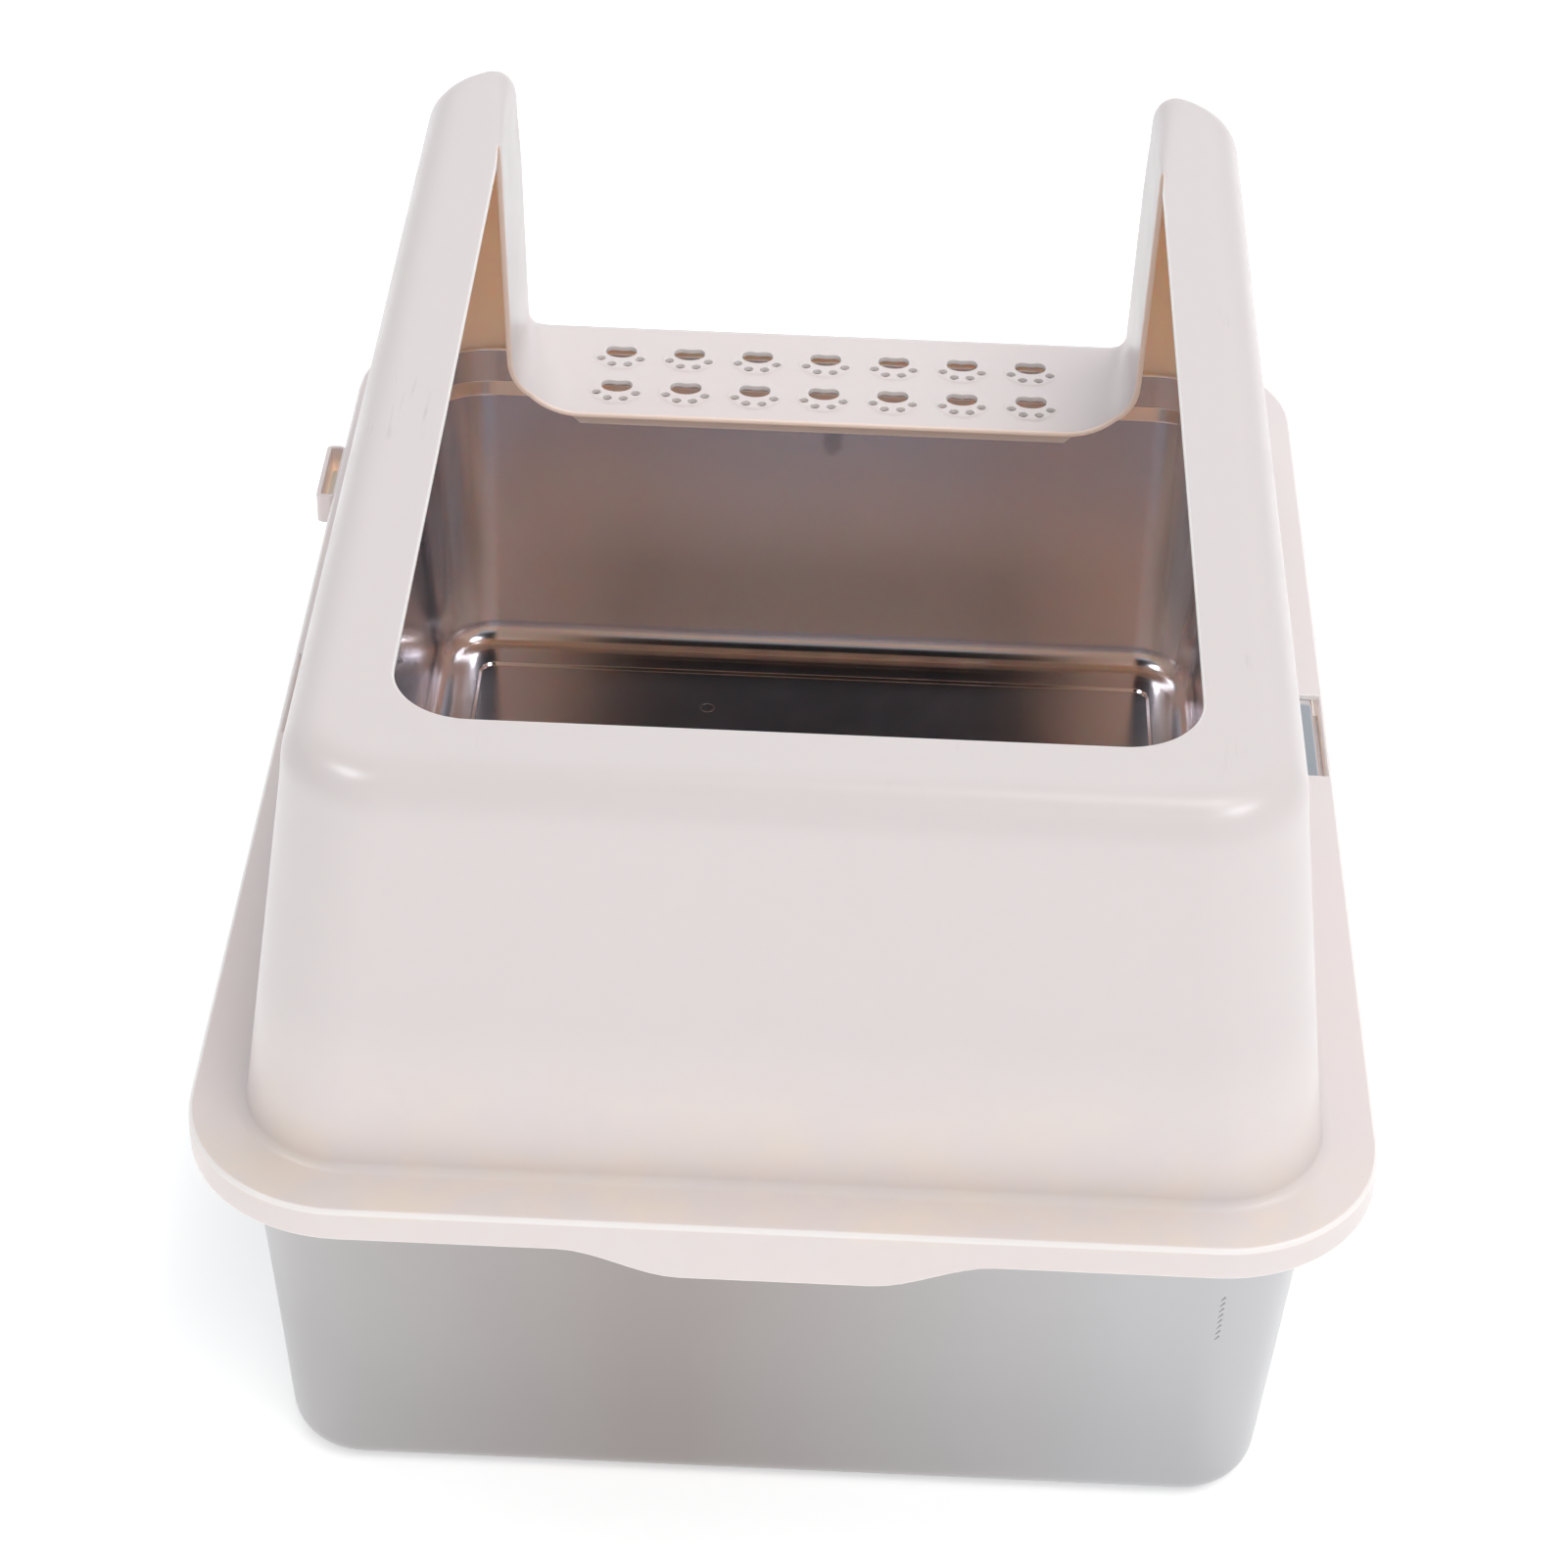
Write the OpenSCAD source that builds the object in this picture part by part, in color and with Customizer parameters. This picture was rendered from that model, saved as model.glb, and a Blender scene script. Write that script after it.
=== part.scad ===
// Cat litter box: a drawn steel pan under a lift-off plastic hood.
// The hood has high walls, an open top and a low entrance step at the front.
// Millimetres, +Z up. The origin is under the middle of the pan, and the entrance faces +Y.

/* [Overall] */
// Width of the hood's flange
flange_w = 400; // [370:1:430]
// Length of the hood's flange
flange_l = 571; // [540:1:620]
// Height of the flange's top above the ground
flange_z = 150; // [130:1:180]
// Height of the hood's ring above the flange
hood_h = 157; // [130:1:190]
// Plan radius of the flange's corners
corner_r = 56; // [52:1:62]

/* [Pan] */
// Thickness of the steel sheet
pan_t = 0.6; // [0.5:0.1:0.9]
// Lean of the pan's walls, in degrees
pan_draft = 4.3; // [3.4:0.1:5]
// Radius between the pan's floor and walls
pan_fillet = 12; // [8:1:14]
// Depth of the pressed panel that the pan stands on
panel_drop = 1.2; // [0.8:0.1:2]
// Height of the shoulder below the flange's top
shoulder_drop = 24; // [20:1:28]

/* [Hood] */
// Wall thickness of the hood
hood_t = 2.4; // [2:0.1:3]
// Width of the flange beside the hood's walls
ledge_w = 19; // [17:1:21]
// Radius between the hood's walls and its ring
fold_r = 14; // [10:1:18]
// Width of the flat ring at the sides
ring_w = 18.5; // [14:0.5:22]
// Width of the flat ring at the back
ring_back_w = 22; // [16:1:26]
// Depth of the skirt below the flange's top
skirt_h = 12.7; // [11:0.1:15]

/* [Entrance] */
// Half of the entrance's width between its side walls
entrance_half_w = 129; // [110:1:130]
// Depth of the entrance step, from front to back
step_depth = 73; // [68:1:80]
// Height of the step above the flange
step_rise = 13.5; // [10:0.5:20]
// Radius between the step and its side walls
trough_r = 20; // [12:1:24]
// Number of paw-shaped holes across the step
paw_columns = 7; // [3:1:7]

/* [Details] */
// Length of the moulding slot over each snap hook
slot_l = 52; // [30:1:60]
// Length of the scoop loop
loop_l = 39.5; // [32:0.5:44]
// Clear gap inside the scoop loop
loop_gap = 5.2; // [4.6:0.1:6]
// Width of the lifting tab at its root
tab_w = 144; // [100:2:180]

/* [Hidden] */
$fn = 96;
eps = 0.01;
// How far a cut runs past the face it opens
over = 1;
corner_steps = 12;
fold_steps = 7;
fillet_steps = 6;
bend_steps = 3;
// Every outline of the pan and flange turns about the same four corner centres.
centre_x = flange_w / 2 - corner_r;
centre_y = flange_l / 2 - corner_r;
flange_under = flange_z - hood_t;
ring_z = flange_z + hood_h;

// Pan, measured outwards from the corner centres
pan_inset = 29.7;
pan_r0 = corner_r - pan_inset;
panel_r = 6;
panel_edge = 1.4;
shoulder_z = flange_z - shoulder_drop;
shoulder_h = 5;
shoulder_w = 3.6;
shoulder_ease = 0.25;
rim_bend = 1.5;
rim_inset = 4.2;
rim_r = corner_r - rim_inset;
lip_h = 3.6;

// Hood walls, at the foot and where the ring's fold begins
side_angle = 7.6;
back_angle = 1.4;
front_angle = 14.2;
side_lean = tan(side_angle);
back_lean = tan(back_angle);
front_lean = tan(front_angle);
back_extra = 2;
front_less = 1.5;
foot_x = flange_w / 2 - ledge_w;
foot_back = flange_l / 2 - ledge_w - back_extra;
foot_front = flange_l / 2 - ledge_w + front_less;
foot_r = 38;
fold_z = ring_z - fold_r;
fold_corner_r = 36;
opening_r = 26;

// Entrance
step_z = flange_z + step_rise;
lining_t = hood_t;
rib_half_w = 108;
rib_h = 6;
rib_t = 2;
rib_setback = 5;
paw_pitch_x = 29.3;
paw_pitch_y = 28;
paw_inset = 23;
pad_lobes = [[-2.6, 1.6, 4.2], [0, 0.4, 4.6], [2.6, 1.6, 4.2]];
toe_spots = [[-8.5, -4], [-3.4, -8], [3.4, -8], [8.5, -4]];
toe_r = 2;

// Flange details
skirt_z = flange_z - skirt_h;
edge_r = 2;
edge_steps = 5;
plate_in_r = 26;
slot_inset = 10;
slot_x = flange_w / 2 - slot_inset;
slot_mid_y = 2.2;
tab_flat_w = 63;
tab_drop = 10.5;
hook_l = 44;
hook_h = 5;
hook_clear = 0.3;
hook_rise = 1;
loop_mid_y = 160.8;
loop_h = 13;
loop_drop = 0.5;
loop_wall = 1.8;
loop_floor = 1.6;
loop_corner_r = 3;

// Points of an arc about centre c, from angle a0 to a1
function arc(c, r, a0, a1, steps) =
    [for (i = [0:steps]) let (a = a0 + (a1 - a0) * i / steps) [c[0] + r * cos(a), c[1] + r * sin(a)]];

// Unit normal on the left of the way from p to q
function left_of(p, q) = let (d = q - p) [-d[1], d[0]] / norm(d);

// The path shifted to its left by t, mitred at its corners
function shifted(path, t) =
    [for (i = [0:len(path) - 1])
        let (last = len(path) - 1,
             before = left_of(path[max(i - 1, 0)], path[max(i, 1)]),
             after = left_of(path[min(i, last - 1)], path[min(i + 1, last)]),
             mid = before + after)
        path[i] + t * 2 * mid / (mid * mid)];

function reversed(path) = [for (i = [len(path) - 1:-1:0]) path[i]];

// Rounded rectangle of half width a, from -back to front in Y
function outline(a, front, back, r) = concat(
    arc([a - r, front - r], r, 0, 90, corner_steps),
    arc([r - a, front - r], r, 90, 180, corner_steps),
    arc([r - a, r - back], r, 180, 270, corner_steps),
    arc([a - r, r - back], r, 270, 360, corner_steps));

// One closed solid through levels of [z, half width, front, back, corner radius]
module loft(levels) {
    n = 4 * (corner_steps + 1);
    last = len(levels) - 1;
    points = [for (v = levels) for (p = outline(v[1], v[2], v[3], v[4])) [p[0], p[1], v[0]]];
    bottom = [for (i = [0:n - 1]) i];
    top = [for (i = [n - 1:-1:0]) last * n + i];
    sides = [for (k = [0:last - 1], i = [0:n - 1])
        let (j = (i + 1) % n, b = k * n, t = b + n)
        each [[b + i, t + i, t + j], [b + i, t + j, b + j]]];
    polyhedron(points, concat([bottom], sides, [top]));
}

// Profile of [distance outwards from the corner centres, z] swept round the four sides
module sweep_round(profile) {
    for (turn = [0, 180]) rotate(turn) {
        translate([centre_x, centre_y, 0])
            rotate_extrude(angle = 90) polygon(profile);
        translate([-centre_x, centre_y, 0])
            rotate(90) rotate_extrude(angle = 90) polygon(profile);
        translate([centre_x, centre_y, 0])
            rotate([90, 0, 0]) linear_extrude(2 * centre_y) polygon(profile);
        translate([-centre_x, centre_y, 0])
            rotate([90, 0, 90]) linear_extrude(2 * centre_x) polygon(profile);
    }
}

// Flat rounded rectangle from exact squares and circles
module rounded_slab(a, front, back, r, z0, z1) {
    translate([0, 0, z0]) linear_extrude(z1 - z0) {
        translate([-a, r - back]) square([2 * a, front + back - 2 * r]);
        translate([r - a, -back]) square([2 * (a - r), front + back]);
        for (x = [r - a, a - r], y = [r - back, front - r])
            translate([x, y]) circle(r);
    }
}

// Outside of the pan's sheet, from the floor's middle up the wall and over the rim
function pan_path() = let (
    run = tan(pan_draft),
    reach = pan_fillet * tan((90 - pan_draft) / 2),
    wall_r = pan_r0 + (shoulder_z - panel_drop) * run,
    band_r = wall_r + shoulder_w,
    ease_w = shoulder_w * shoulder_ease,
    ease_h = shoulder_h * shoulder_ease,
    rim_under = flange_under - pan_t) concat(
    [[0, 0], [panel_r, 0], [panel_r + panel_edge, panel_drop]],
    arc([pan_r0 - reach, panel_drop + pan_fillet], pan_fillet, -90, -pan_draft, fillet_steps),
    [[wall_r, shoulder_z], [wall_r + ease_w, shoulder_z + ease_h]],
    [[band_r - ease_w, shoulder_z + shoulder_h - ease_h], [band_r, shoulder_z + shoulder_h]],
    arc([band_r + rim_bend, rim_under - rim_bend], rim_bend, 180, 90, bend_steps),
    arc([rim_r - pan_t - rim_bend, rim_under - rim_bend], rim_bend, 90, 0, bend_steps),
    [[rim_r - pan_t, flange_under - lip_h]]);

module pan() {
    path = pan_path();
    color([0.7, 0.7, 0.72]) {
        sweep_round(concat(path, reversed(shifted(path, pan_t))));
        translate([-centre_x, -centre_y, 0])
            cube([2 * centre_x, 2 * centre_y, pan_t]);
    }
}

// Levels of the hood's body, shrunk all round by t
function hood_levels(t) = let (
    rise = fold_z - flange_z,
    x = foot_x - side_lean * rise - t,
    front = foot_front - front_lean * rise - t,
    back = foot_back - back_lean * rise - t,
    r = fold_r - t) concat(
    [[flange_z - (t > 0 ? over : 0), foot_x - t, foot_front - t, foot_back - t, foot_r - t]],
    [for (i = [0:fold_steps])
        let (a = 90 * i / fold_steps, in = r * (1 - cos(a)))
        [fold_z + r * sin(a), x - in, front - in, back - in, fold_corner_r - t - in]]);

// U-shaped front cut, open at the top, extruded along Y
module entrance_prism(grow) {
    half_w = entrance_half_w + grow;
    r = trough_r + grow;
    low = step_z - grow;
    translate([0, flange_l, 0]) rotate([90, 0, 0]) linear_extrude(flange_l) {
        translate([-half_w, low + r]) square([2 * half_w, hood_h]);
        translate([r - half_w, low]) square([2 * (half_w - r), hood_h]);
        for (x = [r - half_w, half_w - r])
            translate([x, low + r]) circle(r);
    }
}

// Side view of the entrance lining: it leans back with the front wall and ends in the ring's fold
function lining_profile() = let (
    front_at_fold = foot_front - front_lean * (fold_z - flange_z),
    low = step_z - lining_t,
    low_front = foot_front - front_lean * (low - flange_z)) concat(
    [[low_front - step_depth, low], [low_front, low]],
    arc([front_at_fold - fold_r, fold_z], fold_r, 0, 90, fold_steps),
    [[low_front - step_depth - front_lean * (ring_z - low), ring_z]]);

module lining_envelope() {
    translate([-flange_w / 2, 0, 0])
        rotate([90, 0, 90]) linear_extrude(flange_w) polygon(lining_profile());
}

// The lining's side view, run on past the front and the top so that the cut is clean
module lining_envelope_cut() {
    low = step_z - lining_t;
    near = foot_front - front_lean * (low - flange_z) - step_depth;
    high = ring_z + fold_r;
    translate([-flange_w / 2, 0, 0]) rotate([90, 0, 90]) linear_extrude(flange_w)
        polygon([[near, low], [flange_l, low], [flange_l, high],
            [near - front_lean * (high - low), high]]);
}

module hood_shell() {
    opening_half = foot_x - side_lean * (fold_z - flange_z) - fold_r - ring_w;
    opening_back = foot_back - back_lean * (fold_z - flange_z) - fold_r - ring_back_w;
    color([0.89, 0.86, 0.84]) difference() {
        loft(hood_levels(0));
        loft(hood_levels(hood_t));
        intersection() {
            entrance_prism(lining_t);
            lining_envelope_cut();
        }
        rounded_slab(opening_half, flange_l / 2, opening_back, opening_r, fold_z, ring_z + over);
    }
}

// One paw: a three-lobed pad hole and four toe holes
module paw_cut() {
    translate([0, 0, step_z - lining_t - over]) linear_extrude(lining_t + 2 * over) {
        for (lobe = pad_lobes)
            translate([lobe[0], lobe[1]]) circle(lobe[2]);
        for (spot = toe_spots)
            translate(spot) circle(toe_r);
    }
}

module entry_step() {
    step_front = foot_front - front_lean * (step_z - flange_z);
    far_row_y = step_front - paw_inset;
    rib_y = step_front - step_depth + rib_setback;
    color([0.88, 0.85, 0.84]) {
        difference() {
            intersection() {
                entrance_prism(lining_t);
                lining_envelope();
            }
            entrance_prism(0);
            for (column = [0:paw_columns - 1], row = [0, 1])
                translate([(column - (paw_columns - 1) / 2) * paw_pitch_x,
                        far_row_y - row * paw_pitch_y, 0])
                    paw_cut();
        }
        // stiffening rib behind the step's lip, with slanted ends
        translate([0, rib_y + rib_t, step_z - lining_t]) rotate([90, 0, 0]) linear_extrude(rib_t)
            polygon([[-rib_half_w, 0], [rib_h - rib_half_w, -rib_h],
                [rib_half_w - rib_h, -rib_h], [rib_half_w, 0]]);
    }
}

module hood_flange() {
    skirt_in = corner_r - hood_t;
    profile = concat(
        [[plate_in_r, flange_under], [skirt_in, flange_under], [skirt_in, skirt_z], [corner_r, skirt_z]],
        arc([corner_r - edge_r, flange_z - edge_r], edge_r, 0, 90, edge_steps),
        [[plate_in_r, flange_z]]);
    color([0.88, 0.84, 0.83]) {
        difference() {
            sweep_round(profile);
            rounded_slab(foot_x - hood_t, foot_front - hood_t, foot_back - hood_t, foot_r - hood_t,
                flange_under - over, flange_z + over);
            for (x = [slot_x, -flange_w / 2 + hood_t])
                translate([x, slot_mid_y - slot_l / 2, flange_under - eps])
                    cube([flange_w / 2 - hood_t - slot_x, slot_l, hood_t + over]);
        }
        // lifting tab: the back skirt dips in the middle
        translate([0, hood_t - flange_l / 2, skirt_z]) rotate([90, 0, 0]) linear_extrude(hood_t)
            polygon([[-tab_w / 2, 0], [-tab_flat_w / 2, -tab_drop],
                [tab_flat_w / 2, -tab_drop], [tab_w / 2, 0]]);
    }
}

// Open-topped pocket on the left edge of the flange, for a scoop's handle
module scoop_loop() {
    reach = loop_gap + loop_wall;
    color([0.88, 0.85, 0.83])
    translate([-flange_w / 2, loop_mid_y, flange_z - loop_h - loop_drop]) difference() {
        linear_extrude(loop_h) {
            translate([loop_corner_r - reach, -loop_l / 2]) square([reach - loop_corner_r, loop_l]);
            translate([-reach, loop_corner_r - loop_l / 2]) square([reach, loop_l - 2 * loop_corner_r]);
            for (y = [loop_corner_r - loop_l / 2, loop_l / 2 - loop_corner_r])
                translate([loop_corner_r - reach, y]) circle(loop_corner_r);
        }
        translate([0, 0, loop_floor]) linear_extrude(loop_h)
            translate([-loop_gap, loop_wall - loop_l / 2]) square([loop_gap + over, loop_l - 2 * loop_wall]);
    }
}

// Wedge on the skirt's inner face, just outside the pan's rim
module snap_hook(side) {
    skirt_in = flange_w / 2 - hood_t;
    reach = skirt_in - (flange_w / 2 - corner_r + rim_r) - hook_clear;
    low = skirt_z + hook_rise;
    color([0.86, 0.82, 0.80])
    mirror([side < 0 ? 1 : 0, 0, 0])
        translate([0, slot_mid_y + hook_l / 2, 0]) rotate([90, 0, 0]) linear_extrude(hook_l)
            polygon([[skirt_in, low], [skirt_in - reach, low + hook_h / 2],
                [skirt_in - reach, low + hook_h], [skirt_in, low + hook_h]]);
}

module snap_hook_left() {
    snap_hook(-1);
}

module snap_hook_right() {
    snap_hook(1);
}

pan();
hood_flange();
hood_shell();
entry_step();
scoop_loop();
snap_hook_left();
snap_hook_right();
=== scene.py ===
"""Looks for the cat litter box: the hood moulding, the steel pan, their materials, light and camera."""

import math

import bmesh
import bpy
import numpy as np
from mathutils import Matrix, Vector, geometry


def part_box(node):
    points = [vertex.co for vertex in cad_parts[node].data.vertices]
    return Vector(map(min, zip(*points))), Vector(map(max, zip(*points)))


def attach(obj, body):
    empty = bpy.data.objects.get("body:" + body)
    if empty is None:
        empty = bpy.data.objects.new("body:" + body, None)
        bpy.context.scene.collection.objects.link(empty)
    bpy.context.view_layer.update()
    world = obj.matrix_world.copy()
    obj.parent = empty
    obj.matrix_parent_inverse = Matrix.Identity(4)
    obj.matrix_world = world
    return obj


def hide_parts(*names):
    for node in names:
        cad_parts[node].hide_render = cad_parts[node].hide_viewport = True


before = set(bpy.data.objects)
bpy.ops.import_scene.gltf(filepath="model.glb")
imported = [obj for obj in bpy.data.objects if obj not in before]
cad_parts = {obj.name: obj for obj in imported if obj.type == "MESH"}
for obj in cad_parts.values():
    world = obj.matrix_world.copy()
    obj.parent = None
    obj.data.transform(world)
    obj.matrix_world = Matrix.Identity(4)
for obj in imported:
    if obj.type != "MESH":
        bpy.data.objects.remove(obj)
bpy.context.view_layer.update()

MM = 0.001
flange_lo, flange_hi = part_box("hood_flange")
shell_lo, shell_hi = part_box("hood_shell")
step_lo, step_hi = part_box("entry_step")
pan_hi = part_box("pan")[1]
loop_lo, loop_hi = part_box("scoop_loop")
hook_lo, hook_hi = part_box("snap_hook_right")

# Hood, worked out from the frame and a few sizes of the moulding
SHEET = 2.4 * MM
CORNER_R = 56 * MM
EDGE_R = 2 * MM
SKIRT_H = 12.7 * MM
HALF_W, HALF_L, FLANGE_Z = flange_hi.x, flange_hi.y, flange_hi.z
SKIRT_Z = FLANGE_Z - SKIRT_H
TAB_DROP = SKIRT_Z - flange_lo.z
TAB_FLAT = 31.5 * MM
TAB_ROOT = 72 * MM
CENTRE_X, CENTRE_Y = HALF_W - CORNER_R, HALF_L - CORNER_R
RING_Z = shell_hi.z
FOOT_X, FOOT_BACK, FOOT_FRONT = shell_hi.x, shell_lo.y, shell_hi.y
FOOT_R = 38 * MM
FOOT_FILLET = 4 * MM
FOLD_R = 14 * MM
FOLD_CORNER_R = 36 * MM
FOLD_Z = RING_Z - FOLD_R
FOLD_BLEND = 10 * MM
SIDE_LEAN = math.tan(math.radians(7.6))
BACK_LEAN = math.tan(math.radians(1.4))
FRONT_LEAN = math.tan(math.radians(14.2))
OPENING_BACK = -225 * MM
OPENING_R = 26 * MM

# Entrance
ENTRY_X = step_hi.x - SHEET
RIB_H = 6 * MM
STEP_Z = step_lo.z + RIB_H + SHEET
NEAR_Y = step_lo.y
TROUGH_NEAR_R, TROUGH_FAR_R = 27 * MM, 8 * MM
STEP_FRONT = FOOT_FRONT - FRONT_LEAN * (STEP_Z - FLANGE_Z)
LINING_OVERRUN = 20 * MM
EDGE_NEAR_R, EDGE_TIP_R, EDGE_FRONT_R, EDGE_MIN_R = 2.6 * MM, 11 * MM, 2 * MM, 0.1 * MM
EDGE_GROWTH, EDGE_FADE = 66 * MM, 14 * MM
EDGE_FROM_Z, EDGE_TO_Z = FOLD_Z - 45 * MM, FOLD_Z + 2 * MM
PAW_PITCH_X, PAW_PITCH_Y, PAW_INSET = 29.3 * MM, 28 * MM, 23 * MM
PAW_ROWS, PAW_COLUMNS = 2, 7
TOES = ((-8.3 * MM, -4.8 * MM), (-3.4 * MM, -9.2 * MM), (3.4 * MM, -9.2 * MM), (8.3 * MM, -4.8 * MM))
TOE_R = 2 * MM
PAD_W, PAD_L, PAD_AHEAD, PAD_SQUARE = 6.6 * MM, 5.2 * MM, 1.1 * MM, 0.8
PAD_HOLLOW, PAD_HOLLOW_W = 1.6 * MM, 3.2 * MM
PAW_EDGE, PAW_EDGE_BACK, PAW_RAISE = 11.8 * MM, 2 * MM, 0.4 * MM
PAW_FIELD_X = 101.5 * MM
RIB_HALF, RIB_T, RIB_SETBACK = 108 * MM, 2 * MM, 4.8 * MM
RIB_SUNK, RIB_SOFT = 0.2 * MM, 0.5 * MM

# Small parts of the hood. SUNK is how far a part reaches into its neighbour, SOFT how round its edges are
LOOP_WALL, LOOP_FLOOR, LOOP_SOFT = 1.9 * MM, 1.6 * MM, 0.45 * MM
LOOP_R, LOOP_HOLE_R = 2.5 * MM, 0.8 * MM
LOOP_SUNK, LOOP_INSET = 0.6 * MM, 0.3 * MM
HOOK_SUNK, HOOK_SOFT = 0.3 * MM, 0.25 * MM
RIM_R, HOLE_RIM_R, LONG_RIM = 0.9 * MM, 0.4 * MM, 300 * MM
NEAR_RIM_Y, NEAR_RIM_Z = 5 * MM, 4 * MM

# Pan, measured outwards from the corner centres that it shares with the flange
PAN_T = 0.6 * MM
PAN_LEAN = 4.3
PAN_R0 = 26.3 * MM
PAN_FILLET = 12 * MM
PANEL_R, PANEL_SLOPE, PANEL_DROP = 6 * MM, 1.4 * MM, 1.2 * MM
SHOULDER_Z, SHOULDER_W, SHOULDER_H = 126 * MM, 3.6 * MM, 5 * MM
PANEL_FOLD_R, SHOULDER_IN_R, SHOULDER_OUT_R = 1 * MM, 1.6 * MM, 1.2 * MM
RIM_IN_R, RIM_OUT_R = 1.6 * MM, 1.5 * MM
LIP_H, LIP_BAND, PAN_RIM_R = 3.6 * MM, 2.2 * MM, 0.25 * MM
PAN_CORNER_STEPS, PAN_SIDE_STEPS, TALL, TALL_STEPS = 14, (20, 28), 40 * MM, 15
WAVINESS, FLOOR_WAVINESS = 0.1 * MM, 0.06 * MM
STAMP_AT, STAMP_R, STAMP_T, STAMP_FLAT = (-47 * MM, 209.6 * MM), 3.1 * MM, 0.28 * MM, 0.7
TICKS, TICK_TOP, TICK_STEP, TICK_SHIFT = 8, (150.3 * MM, 107 * MM), 2.8 * MM, 0.056 * MM
TICK_ALONG, TICK_ACROSS = (0.75 * MM, 0, 0.85 * MM), (0.15 * MM, 0, -0.13 * MM)
TICK_SUNK, TICK_PROUD, TICK_SOFT = 0.3 * MM, 0.16 * MM, 0.05 * MM

# Colours
PLASTIC = (0.765, 0.695, 0.69, 1)
# Painted shade: above HIGH_WALL_Z the walls and ring are painted darker and the lower walls and flange
# lighter. This stands in for the stronger light up high and the shade at the walls' foot
PLASTIC_UPPER_SHADED = (0.70, 0.64, 0.635, 1)
PLASTIC_WARM = (0.775, 0.695, 0.68, 1)
# Painted light: the inner faces are painted a warmer tan, standing in for light shining through the sheet
PLASTIC_INNER_LIT_TAN = (0.91, 0.76, 0.68, 1)
# Painted highlight: the pale colour of the flange's top bend and of the free edges
PLASTIC_EDGE_HIGHLIGHT = (0.97, 0.93, 0.91, 1)
# Painted glow: an emission colour that stands in for light shining through the plastic at the step's near
# edge, the rib and inside the loop
RIM_GLOW = (0.27, 0.185, 0.135, 1)
# Warm stain at the back wall's foot, painted lighter than the plastic to offset the shade there
STAIN_AND_LIGHT = (0.84, 0.72, 0.62, 1)
GRIME = (0.40, 0.36, 0.35, 1)
STEEL, STEEL_WARM = (0.77, 0.74, 0.78, 1), (0.78, 0.735, 0.76, 1)
# Painted shade: the pan's outside is painted darker than its inside, for the dimmer surroundings that it
# mirrors; a darker, warmer patch lies left of the middle
STEEL_OUTSIDE_SHADED, STEEL_DARK_PATCH = (0.455, 0.455, 0.465, 1), (0.33, 0.295, 0.285, 1)
# Painted reflections: the dark middle of the pan's floor, and the pale streaks in its corners
STEEL_DARK_REFLECTION, STEEL_GLINT = (0.16, 0.155, 0.165, 1), (0.97, 0.95, 0.91, 1)
# Painted highlight: the bright bluish top of the pan's rim
STEEL_RIM_HIGHLIGHT = (0.93, 0.93, 0.96, 1)
DARK_SPOT = (0.34, 0.32, 0.32, 1)
MARK_DARK, MARK_LIGHT = (0.36, 0.35, 0.36, 1), (0.44, 0.43, 0.44, 1)
STUDIO_FLOOR = (0.93, 0.93, 0.93, 1)

# Finish: (low, high) pairs are the ends of a change, in metres where they are places
SSS_OUTSIDE, SSS_INSIDE, SSS_RADIUS, SSS_SCALE = 0.08, 0.9, (1.0, 0.55, 0.4), 10 * MM
HALF_INSIDE, RIB_GLOW, LOOP_GLOW = 0.5, 0.5, 0.4
INNER_SHARE, EDGE_HIGHLIGHT_SHARE, STAIN_AND_LIGHT_SHARE, SCUFF_SHARE, SPECK_SHARE = 0.8, 0.8, 0.75, 0.3, 0.5
PATCHES = (0.35, 0.65)
HIGH_WALL_Z = (165 * MM, 215 * MM)
STAIN_Z, STAIN_Y = (152 * MM, 205 * MM), (-275 * MM, -225 * MM)
SCUFF_Z, RARE = (RING_Z - 30 * MM, RING_Z - 12 * MM), (0.60, 0.68)
PLASTIC_ROUGH, STAIN_ROUGH = (0.29, 0.36), 0.12
STEEL_ROUGH, OUTSIDE_ROUGH = (0.16, 0.20), 0.07
DARK_PATCH_AT, DARK_PATCH_X, DARK_PATCH_WOBBLE, DARK_PATCH_SHARE = -35 * MM, (10 * MM, 170 * MM), 20 * MM, 0.9
RIM_TOP_Z = (145.5 * MM, 146.8 * MM)
DARK_FLOOR_X, DARK_FLOOR_Y, DARK_FLOOR_Z = (90 * MM, 170 * MM), (80 * MM, 170 * MM), (2 * MM, 12 * MM)
DARK_FLOOR_NEAR, DARK_FLOOR_FAR = 0.25, 0.68
GLINT_X, GLINT_Y = (148 * MM, 172 * MM), (228 * MM, 256 * MM)
GLINT_METAL = 0.1
FAR_SPOT_AT, FAR_SPOT_SCALE, FAR_SPOT_EDGE = (4.1 * MM, 262 * MM, 110.5 * MM), (240.0, 60.0, 130.0), (1.1, 1.75)
FAR_SPOT_SHARE, SPOT_SHARE = 0.5, 0.6

# Light and camera
WORLD_LOW, WORLD_HIGH, WORLD_STRENGTH = (0.88, 0.94, 1.0, 1), (1.0, 0.99, 0.98, 1), 0.57
ROOM, BACKDROP_TOP = (0.025, 0.025, 0.027, 1), (0.57, 0.68)
FLOOR_SIZE, FLOOR_GLOW = 30, 0.45
LIT_POINT = (0, 0, 0.15)
COOL, NEUTRAL, SIDE_TINT = (0.88, 0.94, 1.0), (1.0, 0.985, 0.97), (0.95, 0.97, 1.0)
SIDE_POWER, FRONT_POWER, TOP_POWER, BACK_POWER = 25, 42, 17, 28
CAMERA_AT = (16.4 * MM, -1224 * MM, 1037.16 * MM)
CAMERA_PITCH, CAMERA_YAW, CAMERA_ROLL = (math.radians(a) for a in (36.92, -1.12, -1.77))
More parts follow.
